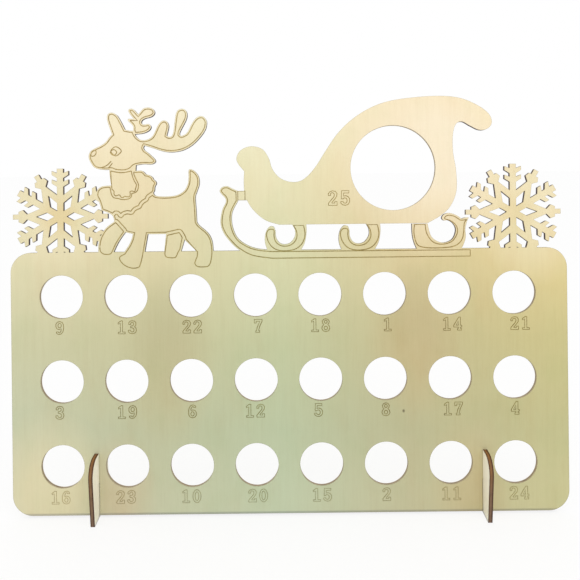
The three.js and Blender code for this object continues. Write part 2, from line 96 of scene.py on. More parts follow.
def inset(ring: Sequence[Point], depth: float) -> list[Point]:
    """Draw a ring again inside itself, as an engraved line follows a cut edge.

    Args:
        ring: a closed ring of points that runs either way round.
        depth: how far inside it the new ring lies.

    Returns:
        The new ring, without the loops that an offset makes at its corners.
    """
    sharpest, clearance = 0.35, 0.97
    points = np.array(ring)
    after, before = np.roll(points, -1, axis=0), np.roll(points, 1, axis=0)
    turn = 1.0 if np.sum(points[:, 0] * after[:, 1] - after[:, 0] * points[:, 1]) > 0 else -1.0
    along = after - points
    along /= np.linalg.norm(along, axis=1)[:, None]
    arriving = np.roll(along, 1, axis=0)
    middle = along + arriving
    middle /= np.maximum(np.linalg.norm(middle, axis=1)[:, None], 1e-6)
    left = np.stack([-middle[:, 1], middle[:, 0]], axis=1) * turn
    reach = depth / np.maximum(np.sum(middle * along, axis=1), sharpest)
    moved = points + left * reach[:, None]
    span = after - points
    offset = moved[:, None, :] - points[None, :, :]
    share = np.clip(np.sum(offset * span, axis=2) / np.sum(span * span, axis=1), 0.0, 1.0)
    gap = np.linalg.norm(offset - share[:, :, None] * span, axis=2).min(axis=1)
    clear = gap > clearance * depth
    return [(float(x), float(y)) for x, y in moved[clear]]


def quarter(middle: Point, radius: float, start: float, step: float) -> list[Point]:
    """A quarter of a circle, as a round corner is cut.

    Args:
        middle: the middle of the circle.
        radius: its radius.
        start: where the quarter begins, in degrees.
        step: the angle between two points, in degrees.

    Returns:
        The points, both ends among them.
    """
    turns = [math.radians(start + step * index) for index in range(round(90 / step) + 1)]
    return [
        (middle[0] + radius * math.cos(turn), middle[1] + radius * math.sin(turn))
        for turn in turns
    ]


@dataclass(frozen=True)
class Patch:
    """A rectangle of the sheet, in which outlines are shares of its width and height."""

    left: float
    bottom: float
    width: float
    height: float
    step: float = 0.8

    def place(self, shares: Shares) -> list[Point]:
        """Shares of the patch as points on the sheet."""
        return [(self.left + x * self.width, self.bottom + y * self.height) for x, y in shares]

    def corners(self) -> list[Point]:
        """The patch's own four corners."""
        return self.place(((0.0, 0.0), (1.0, 0.0), (1.0, 1.0), (0.0, 1.0)))

    def ring(self, stretches: Stretches) -> list[Point]:
        """Close an outline given in stretches.

        Args:
            stretches: each starts where the last one ends, runs smoothly through its own
                points and meets the next at a corner.

        Returns:
            The ring of points in millimetres.
        """
        last = self.place(stretches[-1])[-1]
        points: list[Point] = []
        for stretch in stretches:
            knots = [last, *self.place(stretch)]
            points += smooth(knots, self.step)[1:]
            last = knots[-1]
        return points

    def loop(self, shares: Shares) -> list[Point]:
        """A smooth ring without corners."""
        knots = self.place(shares)
        full = smooth([*knots[-2:], *knots, *knots[:3]], self.step)
        start = min(range(len(full) // 2), key=lambda i: math.dist(full[i], knots[0]))
        end = max(range(len(full) // 2, len(full)), key=lambda i: -math.dist(full[i], knots[0]))
        return full[start:end]

    def line(self, *stretches: Shares) -> list[Point]:
        """An open line whose stretches meet at corners."""
        points: list[Point] = []
        for stretch in stretches:
            knots = [*points[-1:], *self.place(stretch)]
            points += smooth(knots, self.step)[1 if points else 0:]
        return points


@dataclass(frozen=True)
class Line:
    """One engraved line: its points on the sheet, and whether it closes."""

    points: list[Point]
    closed: bool = True


# Workshop: flat blanks, cuts and grooves
@contextmanager
def editing() -> Iterator[None]:
    """Work on the active piece in edit mode, with all of it selected to begin with."""
    bpy.ops.object.mode_set(mode="EDIT")
    bpy.ops.mesh.select_all(action="SELECT")
    yield
    bpy.ops.object.mode_set(mode="OBJECT")


class Cut(Enum):
    """What a set of tools does to a piece."""

    JOIN = "UNION"
    AWAY = "DIFFERENCE"


@dataclass(frozen=True)
class Workshop:
    """Cuts flat stock: makes blanks, joins them, drills them and engraves them."""

    facets_per_millimetre: float = 2.4
    least_facets: int = 24
    weld: float = 1e-6
    smooth_angle: float = 25.0

    def pick(self, piece: bpy.types.Object) -> None:
        """Select one object alone and make it active."""
        bpy.ops.object.select_all(action="DESELECT")
        piece.select_set(True)
        bpy.context.view_layer.objects.active = piece

    def blank(self, ring: Sequence[Point], low: float, high: float) -> bpy.types.Object:
        """Saw one flat shape out of stock.

        Args:
            ring: its outline in millimetres.
            low: the height of its back.
            high: the height of its front.

        Returns:
            The closed solid, in metres.
        """
        bpy.ops.object.select_all(action="DESELECT")
        bpy.ops.mesh.primitive_circle_add(vertices=len(ring), radius=1.0, fill_type="NGON")
        piece = bpy.context.active_object
        for vertex, (across, up) in zip(piece.data.vertices, ring):
            vertex.co = Vector((across, up, low)) * MILLIMETRE
        with editing():
            rise = (0.0, 0.0, (high - low) * MILLIMETRE)
            bpy.ops.mesh.extrude_region_move(TRANSFORM_OT_translate={"value": rise})
            bpy.ops.mesh.select_all(action="SELECT")
            bpy.ops.mesh.normals_make_consistent(inside=False)
        return piece

    def drill(self, centre: Point, diameter: float, low: float, high: float) -> bpy.types.Object:
        """A round cutter, standing where it drills."""
        bpy.ops.object.select_all(action="DESELECT")
        bpy.ops.mesh.primitive_cylinder_add(
            vertices=round(diameter * self.facets_per_millimetre + self.least_facets),
            radius=diameter / 2 * MILLIMETRE,
            depth=(high - low) * MILLIMETRE,
            location=Vector((*centre, (high + low) / 2)) * MILLIMETRE,
        )
        piece = bpy.context.active_object
        bpy.ops.object.transform_apply(location=True, rotation=True, scale=True)
        return piece

    def burr(self, line: Line, width: float) -> bpy.types.Object:
        """A cutter that follows a line on the front face and leaves a groove.

        Args:
            line: where the groove runs.
            width: how wide it is at the surface.

        Returns:
            The cutter, a thin closed rod half sunk in the face.
        """
        bpy.ops.object.select_all(action="DESELECT")
        bpy.ops.mesh.primitive_circle_add(vertices=len(line.points), radius=1.0)
        piece = bpy.context.active_object
        for vertex, (across, up) in zip(piece.data.vertices, line.points):
            vertex.co = Vector((across, up, 0.0)) * MILLIMETRE
        if not line.closed:
            self.part_ring(piece)
        bpy.ops.object.convert(target="CURVE")
        rod = bpy.context.active_object
        rod.data.dimensions = "3D"
        rod.data.bevel_depth = width / 2 * MILLIMETRE
        rod.data.bevel_resolution = 0
        rod.data.use_fill_caps = True
        bpy.ops.object.convert(target="MESH")
        with editing():
            bpy.ops.mesh.remove_doubles(threshold=self.weld)
            bpy.ops.mesh.normals_make_consistent(inside=False)
        return bpy.context.active_object

    def part_ring(self, ring: bpy.types.Object) -> None:
        """Take out the edge that closes a ring of vertices, which leaves an open line."""
        last = len(ring.data.vertices) - 1
        with editing():
            bpy.ops.mesh.select_mode(type="EDGE")
            bpy.ops.mesh.select_all(action="DESELECT")
        for edge in ring.data.edges:
            edge.select = set(edge.vertices) == {0, last}
        bpy.ops.object.mode_set(mode="EDIT")
        bpy.ops.mesh.delete(type="EDGE_FACE")
        bpy.ops.mesh.select_mode(type="VERT")
        bpy.ops.object.mode_set(mode="OBJECT")

    def score(
        self, piece: bpy.types.Object, columns: Iterable[float], rows: Iterable[float]
    ) -> None:
        """Split a flat sheet's faces into squares, which keeps each engraved face simple.

        Args:
            piece: the sheet, lying flat.
            columns: where it is scored from top to bottom.
            rows: where it is scored from side to side.
        """
        self.pick(piece)
        cuts = [((across, 0.0, 0.0), (1.0, 0.0, 0.0)) for across in columns]
        cuts += [((0.0, up, 0.0), (0.0, 1.0, 0.0)) for up in rows]
        with editing():
            for place, facing in cuts:
                bpy.ops.mesh.select_all(action="SELECT")
                bpy.ops.mesh.bisect(
                    plane_co=Vector(place) * MILLIMETRE, plane_no=facing, use_fill=False
                )

    def combine(
        self, piece: bpy.types.Object, tools: Iterable[bpy.types.Object], cut: Cut
    ) -> None:
        """Join blanks to a piece or cut it with tools, and put the tools away.

        Args:
            piece: what is worked on.
            tools: the blanks or cutters.
            cut: whether they are joined to it or cut away from it.
        """
        rack = bpy.data.collections.new("rack")
        bpy.context.scene.collection.children.link(rack)
        tools = list(tools)
        for tool in tools:
            for owner in list(tool.users_collection):
                owner.objects.unlink(tool)
            rack.objects.link(tool)
        self.pick(piece)
        modifier = piece.modifiers.new("cut", "BOOLEAN")
        modifier.operation = cut.value
        modifier.operand_type = "COLLECTION"
        modifier.collection = rack
        modifier.solver = "MANIFOLD"
        bpy.ops.object.modifier_apply(modifier=modifier.name)
        for tool in tools:
            mesh = tool.data
            bpy.data.objects.remove(tool)
            bpy.data.meshes.remove(mesh)
        bpy.data.collections.remove(rack)

    def settle(self, piece: bpy.types.Object, name: str, place: Matrix) -> None:
        """Finish a piece: put it in its place in the frame, named and smoothed by angle.

        Args:
            piece: the finished solid.
            name: its name.
            place: where the sheet stands.
        """
        piece.data.transform(place)
        piece.name = name
        piece.data.name = name
        self.pick(piece)
        with editing():
            bpy.ops.mesh.normals_make_consistent(inside=False)
        bpy.ops.object.shade_smooth_by_angle(angle=math.radians(self.smooth_angle))


# Finishes
def linear(colour: Colour) -> tuple[float, float, float, float]:
    """A colour as seen on a screen, from 0 to 255, as the shader's own numbers."""
    shares = [channel / 255 for channel in colour]
    red, green, blue = (c / 12.92 if c <= 0.04045 else ((c + 0.055) / 1.055) ** 2.4 for c in shares)
    return (red, green, blue, 1.0)


class Recipe:
    """A material's node tree, put together step by step."""

    def __init__(self, name: str) -> None:
        """Start an empty tree with a shader on its output."""
        self.material = bpy.data.materials.new(name)
        self.material.use_nodes = True
        self.tree = self.material.node_tree
        self.tree.nodes.clear()
        self.output = self.tree.nodes.new("ShaderNodeOutputMaterial")
        self.shader = self.tree.nodes.new("ShaderNodeBsdfPrincipled")
        self.link(self.shader.outputs["BSDF"], self.output.inputs["Surface"])

    def link(self, source: bpy.types.NodeSocket, target: bpy.types.NodeSocket) -> None:
        """Join two sockets."""
        self.tree.links.new(source, target)

    def place(
        self, location: Sequence[float], turn: Sequence[float], scale: Sequence[float]
    ) -> bpy.types.NodeSocket:
        """Object coordinates measured from a place, along turned axes.

        Args:
            location: where the pattern's own origin lies, in metres.
            turn: how its axes are turned, in degrees.
            scale: the pattern's unit along each of its axes, in metres.

        Returns:
            The coordinates' socket.
        """
        source = self.tree.nodes.new("ShaderNodeTexCoord")
        mapping = self.tree.nodes.new("ShaderNodeMapping")
        mapping.vector_type = "TEXTURE"
        mapping.inputs["Location"].default_value = location
        mapping.inputs["Rotation"].default_value = [math.radians(angle) for angle in turn]
        mapping.inputs["Scale"].default_value = scale
        self.link(source.outputs["Object"], mapping.inputs["Vector"])
        return mapping.outputs["Vector"]

    def noise(
        self, where: bpy.types.NodeSocket, scale: float, detail: float, roughness: float = 0.5
    ) -> bpy.types.NodeSocket:
        """Soft noise in the units of its coordinates."""
        node = self.tree.nodes.new("ShaderNodeTexNoise")
        node.inputs["Scale"].default_value = scale
        node.inputs["Detail"].default_value = detail
        node.inputs["Roughness"].default_value = roughness
        self.link(where, node.inputs["Vector"])
        return node.outputs["Fac"]

    def axis(self, where: bpy.types.NodeSocket, name: str) -> bpy.types.NodeSocket:
        """One axis of a place."""
        node = self.tree.nodes.new("ShaderNodeSeparateXYZ")
        self.link(where, node.inputs["Vector"])
        return node.outputs[name]

    def math(
        self, operation: str, first: bpy.types.NodeSocket, second: bpy.types.NodeSocket | float
    ) -> bpy.types.NodeSocket:
        """A sum done at every point of the surface."""
        node = self.tree.nodes.new("ShaderNodeMath")
        node.operation = operation
        self.link(first, node.inputs[0])
        if isinstance(second, (int, float)):
            node.inputs[1].default_value = second
        else:
            self.link(second, node.inputs[1])
        return node.outputs["Value"]

    def spread(
        self, value: bpy.types.NodeSocket, low: float, high: float, to_low: float, to_high: float
    ) -> bpy.types.NodeSocket:
        """Stretch a value from one range to another, held at its ends."""
        node = self.tree.nodes.new("ShaderNodeMapRange")
        limits = {"From Min": low, "From Max": high, "To Min": to_low, "To Max": to_high}
        for name, number in limits.items():
            node.inputs[name].default_value = number
        self.link(value, node.inputs["Value"])
        return node.outputs["Result"]

    def ramp(self, value: bpy.types.NodeSocket, stops: Sequence[Stop]) -> bpy.types.NodeSocket:
        """Colours laid out along a value from 0 to 1."""
        node = self.tree.nodes.new("ShaderNodeValToRGB")
        elements = node.color_ramp.elements
        while len(elements) < len(stops):
            elements.new(1.0)
        for element, (position, colour) in zip(elements, stops):
            element.position = position
            element.color = linear(colour)
        self.link(value, node.inputs["Fac"])
        return node.outputs["Color"]

    def mix(
        self,
        share: bpy.types.NodeSocket | float,
        first: bpy.types.NodeSocket | Colour,
        second: bpy.types.NodeSocket | Colour,
        kind: str = "MIX",
    ) -> bpy.types.NodeSocket:
        """Lay one colour over another.

        Args:
            share: how much of the second shows.
            first: the colour underneath.
            second: the colour on top.
            kind: how the two are blended.

        Returns:
            The mixed colour's socket.
        """
        node = self.tree.nodes.new("ShaderNodeMix")
        node.data_type = "RGBA"
        node.blend_type = kind
        # The node has sockets of the same name for other kinds of data, so they go by number.
        sockets = [node.inputs[index] for index in (0, 6, 7)]
        for given, socket in zip((share, first, second), sockets):
            if isinstance(given, bpy.types.NodeSocket):
                self.link(given, socket)
            elif isinstance(given, tuple):
                socket.default_value = linear(given)
            else:
                socket.default_value = given
        return node.outputs[2]

    def rim(self, reach: float) -> bpy.types.NodeSocket:
        """How close a point lies to a sharp edge.

        Args:
            reach: how far from an edge it fades out, in metres.

        Returns:
            A value that is 0 on the open face and rises towards 1 at its edges.
        """
        level, turned = 0.98, 0.72
        rounded = self.tree.nodes.new("ShaderNodeBevel")
        rounded.samples = 6
        rounded.inputs["Radius"].default_value = reach
        flat = self.tree.nodes.new("ShaderNodeNewGeometry")
        compare = self.tree.nodes.new("ShaderNodeVectorMath")
        compare.operation = "DOT_PRODUCT"
        self.link(rounded.outputs["Normal"], compare.inputs[0])
        self.link(flat.outputs["Normal"], compare.inputs[1])
        return self.spread(compare.outputs["Value"], level, turned, 0.0, 1.0)

    def finish(
        self, colour: bpy.types.NodeSocket, roughness: bpy.types.NodeSocket | float, shine: float
    ) -> None:
        """Give the shader its colour, its roughness and how much it shines."""
        self.link(colour, self.shader.inputs["Base Color"])
        if isinstance(roughness, bpy.types.NodeSocket):
            self.link(roughness, self.shader.inputs["Roughness"])
        else:
            self.shader.inputs["Roughness"].default_value = roughness
        self.shader.inputs["Specular IOR Level"].default_value = shine

    def bump(self, height: bpy.types.NodeSocket, strength: float, depth: float) -> None:
        """Raise the surface by a height, in metres of depth."""
        node = self.tree.nodes.new("ShaderNodeBump")
        node.inputs["Strength"].default_value = strength
        node.inputs["Distance"].default_value = depth
        self.link(height, node.inputs["Height"])
        self.link(node.outputs["Normal"], self.shader.inputs["Normal"])


@dataclass(frozen=True)
class Stance:
    """How flat stock stands in the frame: its origin and the turn of its axes in degrees."""

    origin: Place
    turn: Place

    def matrix(self) -> Matrix:
        """The sheet's own axes in the frame."""
        steps = [
            Matrix.Rotation(math.radians(angle), 4, axis) for angle, axis in zip(self.turn, "XYZ")
        ]
        return Matrix.Translation(self.origin) @ steps[2] @ steps[1] @ steps[0]


@dataclass(frozen=True)
class TintPatch:
    """A stretch of the wood with a tint laid over it: its middle and reach, in metres."""

    middle: Point
    reach: Point
    tint: Colour


@dataclass(frozen=True)
class WoodTone:
    """The colour of one sheet of wood across the sheet and up it; the ramp up the sheet can hold
    painted light and shade.
    """

    stance: Stance
    bands: tuple[Stop, ...]
    heights: tuple[Stop, ...]
    half_width: float
    height: float
    patches: tuple[TintPatch, ...] = ()
    band_marks: Place = (0.03, 0.3, 0.1)
    band_drift: float = 0.012
    height_marks: Place = (0.05, 0.05, 0.1)
    height_drift: float = 0.02
    lowest: float = 0.01
    patch_core: float = 0.3

    def spot(
        self, recipe: Recipe, size: Sequence[float] = (1.0, 1.0, 1.0)
    ) -> bpy.types.NodeSocket:
        """Coordinates on the sheet, in units of the given size."""
        return recipe.place(self.stance.origin, self.stance.turn, size)

    def wander(
        self, recipe: Recipe, axis: str, marks: Place, drift: float
    ) -> bpy.types.NodeSocket:
        """One axis of the sheet, made to wander a little as the wood's figure does."""
        noise = recipe.noise(self.spot(recipe, marks), 1.0, detail=2.0)
        along = recipe.axis(self.spot(recipe), axis)
        return recipe.math("ADD", along, recipe.math("MULTIPLY", noise, drift))

    def lay(self, recipe: Recipe) -> bpy.types.NodeSocket:
        """Mix the sheet's colour.

        Args:
            recipe: the material that is being put together.

        Returns:
            The colour's socket.
        """
        across = self.wander(recipe, "X", self.band_marks, self.band_drift)
        band = recipe.ramp(
            recipe.spread(across, -self.half_width, self.half_width, 0.0, 1.0), self.bands
        )
        # Up the sheet: the heights ramp, which for the panel holds painted light, brighter towards
        # the top and darker towards the bottom.
        up = self.wander(recipe, "Y", self.height_marks, self.height_drift)
        tone = recipe.ramp(
            recipe.spread(up, self.lowest, self.height + self.lowest, 0.0, 1.0), self.heights
        )
        colour = recipe.mix(1.0, band, tone, "MULTIPLY")
        for patch in self.patches:
            near = recipe.tree.nodes.new("ShaderNodeVectorMath")
            near.operation = "LENGTH"
            centre = self.stance.matrix() @ Vector((*patch.middle, 0.0))
            recipe.link(
                recipe.place(centre, self.stance.turn, (*patch.reach, 1.0)), near.inputs[0]
            )
            fade = recipe.spread(near.outputs["Value"], 1.0, self.patch_core, 0.0, 1.0)
            colour = recipe.mix(fade, colour, patch.tint)
        return colour


@dataclass(frozen=True)
class Grain:
    """One layer of the wood's figure: the size of its marks, and how they tint the wood."""

    marks: Place
    detail: float
    roughness: float
    low: float
    high: float
    share: float
    tint: Colour

    def pattern(self, recipe: Recipe, tone: WoodTone) -> bpy.types.NodeSocket:
        """The layer's marks, from 0 to 1."""
        return recipe.noise(tone.spot(recipe, self.marks), 1.0, self.detail, self.roughness)

    def stain(
        self, recipe: Recipe, pattern: bpy.types.NodeSocket, colour: bpy.types.NodeSocket
    ) -> bpy.types.NodeSocket:
        """The colour underneath, tinted where the marks are strong."""
        shown = recipe.spread(pattern, self.low, self.high, 0.0, self.share)
        return recipe.mix(shown, colour, self.tint, "MULTIPLY")


@dataclass(frozen=True)
class Veneer:
    """The pale face of the plywood: soft clouds and fine grain that run up the sheet."""

    name: str
    tone: WoodTone
    warm_clouds: Grain = Grain((0.016, 0.045, 0.016), 3.0, 0.55, 0.52, 0.75, 0.1, (232, 190, 150))
    cool_clouds: Grain = Grain((0.022, 0.03, 0.05), 3.0, 0.5, 0.5, 0.72, 0.09, (196, 226, 190))
    streaks: Grain = Grain((0.0032, 0.1, 0.0032), 3.0, 0.6, 0.42, 0.72, 0.055, (196, 176, 138))
    fibres: Grain = Grain((0.0006, 0.018, 0.0006), 4.0, 0.65, 0.5, 0.78, 0.08, (176, 148, 108))
    fibre_depth: float = 0.0001
    scorch: Colour = (124, 116, 98)
    scorch_share: float = 0.8
    scorch_reach: float = 0.0007
    # Painted contact shadow: a grey-blue tint that darkens the lowest 1.8 mm of a sheet, where it
    # stands on the table.
    smoke: Colour = (214, 215, 226)
    smoke_height: float = 0.0018
    smoothest: float = 0.54
    roughest: float = 0.72
    shine: float = 0.3

    def make(self) -> bpy.types.Material:
        """Lay clouds, streaks, fibres, scorched rims and a painted contact shadow along the bottom
        edge over the sheet's tone.
        """
        recipe = Recipe(self.name)
        colour = self.tone.lay(recipe)
        for layer in (self.warm_clouds, self.cool_clouds, self.streaks):
            colour = layer.stain(recipe, layer.pattern(recipe, self.tone), colour)
        fibres = self.fibres.pattern(recipe, self.tone)
        colour = self.fibres.stain(recipe, fibres, colour)
        rim = recipe.math("MULTIPLY", recipe.rim(self.scorch_reach), self.scorch_share)
        colour = recipe.mix(rim, colour, self.scorch, "MULTIPLY")
        # Painted contact shadow, fading out up the lowest millimetres of the sheet.
        up = recipe.axis(self.tone.spot(recipe), "Y")
        low = recipe.spread(up, self.smoke_height / 2, self.smoke_height, 1.0, 0.0)
        colour = recipe.mix(low, colour, self.smoke, "MULTIPLY")
        roughness = recipe.spread(fibres, 0.3, 0.7, self.smoothest, self.roughest)
        recipe.finish(colour, roughness, self.shine)
        recipe.bump(fibres, strength=0.2, depth=self.fibre_depth)
        return recipe.material


@dataclass(frozen=True)
class CutEdge:
    """The wall that the laser leaves: scorched plies, darker where the glue lies."""

    name: str
    stance: Stance
    plies: tuple[Stop, ...]
    soot: Colour
    soot_share: float
    rise: tuple[Stop, ...] = ((0.0, WHITE), (1.0, WHITE))
    height: float = 0.3
    thickness: float = 0.003
    wobble_scale: float = 900.0
    wobble_depth: float = 0.0002
    soot_scale: float = 260.0
    soot_spread: float = 0.2
    grit_scale: float = 1500.0
    grit_depth: float = 0.00008
    roughness: float = 0.55
    shine: float = 0.3

    def make(self) -> bpy.types.Material:
        """Band the wall by ply, tint it as it rises and blacken it unevenly."""
        recipe = Recipe(self.name)
        where = recipe.place(self.stance.origin, self.stance.turn, (1.0, 1.0, 1.0))
        wobble = recipe.math(
            "MULTIPLY", recipe.noise(where, self.wobble_scale, detail=2.0), self.wobble_depth
        )
        depth = recipe.math("ADD", recipe.axis(where, "Z"), wobble)
        ply = recipe.ramp(recipe.spread(depth, -self.thickness, 0.0, 0.0, 1.0), self.plies)
        tint = recipe.ramp(
            recipe.spread(recipe.axis(where, "Y"), 0.0, self.height, 0.0, 1.0), self.rise
        )
        colour = recipe.mix(1.0, ply, tint, "MULTIPLY")
        least, most = self.soot_share - self.soot_spread, self.soot_share + self.soot_spread
        clouds = recipe.noise(where, self.soot_scale, detail=4.0, roughness=0.6)
        soot = recipe.spread(clouds, 0.3, 0.7, least, most)
        recipe.finish(recipe.mix(soot, colour, self.soot), self.roughness, self.shine)
        grit = recipe.noise(where, self.grit_scale, detail=2.0)
        recipe.bump(grit, strength=0.3, depth=self.grit_depth)
        return recipe.material


@dataclass(frozen=True)
class BurntLine:
    """The bottom of an engraved line: the sheet's own tone, scorched unevenly."""

    name: str
    tone: WoodTone
    light: Colour
    dark: Colour
    faint_height: float = 0.07
    faint_share: float = 0.45
    scorch_scale: float = 220.0
    grit_scale: float = 1800.0
    grit_depth: float = 0.00006
    roughness: float = 0.8
    shine: float = 0.2

    def make(self) -> bpy.types.Material:
        """Scorch the groove in patches a few millimetres long, more faintly low on the sheet."""
        recipe = Recipe(self.name)
        where = self.tone.spot(recipe)
        patches = recipe.noise(where, self.scorch_scale, detail=4.0, roughness=0.6)
        scorch = recipe.mix(recipe.spread(patches, 0.35, 0.65, 0.0, 1.0), self.light, self.dark)
        up = recipe.axis(where, "Y")
        faint = recipe.spread(up, 0.0, self.faint_height, self.faint_share, 0.0)
        scorch = recipe.mix(faint, scorch, WHITE)
        colour = recipe.mix(1.0, self.tone.lay(recipe), scorch, "MULTIPLY")
        recipe.finish(colour, self.roughness, self.shine)
        grit = recipe.noise(where, self.grit_scale, detail=2.0)
        recipe.bump(grit, strength=0.3, depth=self.grit_depth)
        return recipe.material


# Sheet
class Face(Enum):
    """Where a face of the cut sheet lies, which settles its finish."""

    VENEER = "veneer"
    WALL = "wall"
    GROOVE = "groove"
    HOLE = "hole"


Finishes = dict[Face, bpy.types.Material]


def dress(
    piece: bpy.types.Object,
    finishes: Finishes,
    face_of: Callable[[bpy.types.MeshPolygon], Face],
) -> None:
    """Give every face of a piece its finish.

    Args:
        piece: the cut sheet, still lying flat.
        finishes: a material for each kind of face.
        face_of: tells what kind a face is.
    """
    kinds = list(finishes)
    piece.data.materials.clear()
    for kind in kinds:
        piece.data.materials.append(finishes[kind])
    for polygon in piece.data.polygons:
        polygon.material_index = kinds.index(face_of(polygon))


@dataclass(frozen=True)
class Stock:
    """The plywood sheet that everything is cut from, and how far cutters overrun it."""

    thickness: float = 3.0
    overrun: float = 2.0
    figure_line: float = 0.68
    numeral_line: float = 0.52
    line_inset: float = 1.15
    deepest_groove: float = 0.6
    skin: float = 0.02
    upright: float = 0.99

    def level(self, polygon: bpy.types.MeshPolygon) -> bool:
        """Whether a face lies flat, as the two faces of the sheet do."""
        return abs(polygon.normal.z) > self.upright


# Reindeer
@dataclass(frozen=True)
class Reindeer:
    """The reindeer on the left of the panel, in a square patch over its top edge."""

    left: float = -139.0
    bottom: float = 183.0
    size: float = 100.0
    buried: float = -0.02

    far_foreleg: Shares = (
        (0.066, 0.037), (0.074, 0.085), (0.095, 0.132), (0.127, 0.173), (0.18, 0.212),
    )
    ruff_under: Shares = ((0.17, 0.25), (0.14, 0.272), (0.092, 0.29))
    ruff_left: Shares = (
        (0.082, 0.33), (0.07, 0.362), (0.056, 0.393), (0.064, 0.432), (0.098, 0.457),
        (0.161, 0.463),
    )
    throat: Shares = ((0.153, 0.52), (0.149, 0.573))
    face: Shares = (
        (0.1, 0.574), (0.05, 0.586), (0.022, 0.62), (0.006, 0.662), (0.018, 0.7), (0.05, 0.722),
        (0.085, 0.738), (0.122, 0.762), (0.152, 0.8), (0.17, 0.818),
    )
    front_ear: Shares = (
        (0.152, 0.87), (0.137, 0.922), (0.142, 0.958), (0.17, 0.97), (0.207, 0.95),
        (0.239, 0.895), (0.261, 0.85),
    )
    crown: Shares = ((0.297, 0.843), (0.318, 0.842))
    far_antler: Stretches = (
        (
            (0.318, 0.872), (0.303, 0.891), (0.285, 0.908), (0.281, 0.922), (0.295, 0.926),
            (0.322, 0.925),
        ),
        (
            (0.3, 0.952), (0.285, 0.979), (0.29, 0.992), (0.305, 0.996), (0.323, 0.99),
            (0.34, 0.972), (0.354, 0.956),
        ),
        (
            (0.37, 0.974), (0.388, 0.994), (0.41, 1.002), (0.433, 1.002), (0.456, 0.993),
            (0.469, 0.974), (0.466, 0.957), (0.45, 0.941), (0.428, 0.933), (0.4, 0.926),
            (0.381, 0.914), (0.375, 0.899), (0.383, 0.886), (0.402, 0.885), (0.424, 0.888),
            (0.44, 0.877), (0.442, 0.862), (0.431, 0.845), (0.406, 0.83), (0.377, 0.822),
            (0.346, 0.819), (0.329, 0.817),
        ),
    )
    near_antler: Stretches = (
        (
            (0.34, 0.8), (0.358, 0.784), (0.375, 0.777), (0.396, 0.776), (0.424, 0.783),
            (0.446, 0.797), (0.46, 0.815), (0.472, 0.84), (0.486, 0.87), (0.502, 0.895),
            (0.523, 0.91), (0.545, 0.909), (0.56, 0.895), (0.566, 0.87), (0.56, 0.84),
            (0.551, 0.805),
        ),
        (
            (0.568, 0.797), (0.585, 0.802), (0.594, 0.82), (0.6, 0.846), (0.605, 0.888),
            (0.61, 0.922), (0.616, 0.955), (0.629, 0.981), (0.651, 0.991), (0.673, 0.989),
            (0.689, 0.975), (0.695, 0.95), (0.69, 0.921), (0.676, 0.891), (0.658, 0.858),
            (0.643, 0.828), (0.641, 0.811),
        ),
        (
            (0.652, 0.803), (0.668, 0.808), (0.688, 0.82), (0.705, 0.845), (0.721, 0.878),
            (0.742, 0.911), (0.764, 0.931), (0.79, 0.939), (0.812, 0.932), (0.828, 0.91),
            (0.831, 0.888), (0.825, 0.856), (0.81, 0.826), (0.784, 0.792), (0.75, 0.756),
            (0.711, 0.726), (0.664, 0.703), (0.614, 0.692), (0.575, 0.69), (0.537, 0.694),
            (0.495, 0.705), (0.453, 0.72), (0.419, 0.731), (0.394, 0.738),
        ),
    )
    back_ear: Shares = (
        (0.388, 0.722), (0.398, 0.704), (0.419, 0.689), (0.44, 0.67), (0.462, 0.648),
        (0.472, 0.63), (0.462, 0.615), (0.436, 0.607), (0.384, 0.609), (0.335, 0.602),
    )
    nape: Shares = ((0.332, 0.563),)
    ruff_right: Stretches = (
        ((0.371, 0.564), (0.392, 0.552), (0.403, 0.538)),
        ((0.425, 0.533), (0.448, 0.518), (0.455, 0.503)),
        ((0.47, 0.49), (0.476, 0.473), (0.466, 0.455)),
        ((0.463, 0.441), (0.462, 0.425), (0.453, 0.408)),
    )
    back: Shares = (
        (0.47, 0.388), (0.537, 0.382), (0.614, 0.39), (0.666, 0.419), (0.693, 0.464),
        (0.7, 0.515), (0.7, 0.558), (0.713, 0.571), (0.745, 0.554), (0.771, 0.515),
        (0.774, 0.463), (0.757, 0.412), (0.746, 0.373), (0.751, 0.283), (0.754, 0.205),
    )
    hind_leg: Shares = ((0.77, 0.18), (0.82, 0.137), (0.846, 0.103), (0.862, 0.055), (0.868, -0.02))
    leg_gaps: tuple[Stretches, ...] = (
        (
            ((0.308, 0.124),),
            ((0.299, 0.088), (0.28, 0.047), (0.257, 0.013), (0.243, -0.01)),
            ((0.172, -0.01),),
            ((0.178, 0.009), (0.202, 0.058), (0.23, 0.102), (0.256, 0.136)),
        ),
        (((0.412, 0.121),), ((0.539, 0.121),), ((0.524, -0.01),), ((0.388, -0.01),)),
        (((0.667, 0.08),), ((0.739, 0.01),), ((0.752, -0.01),), ((0.64, -0.01),)),
    )

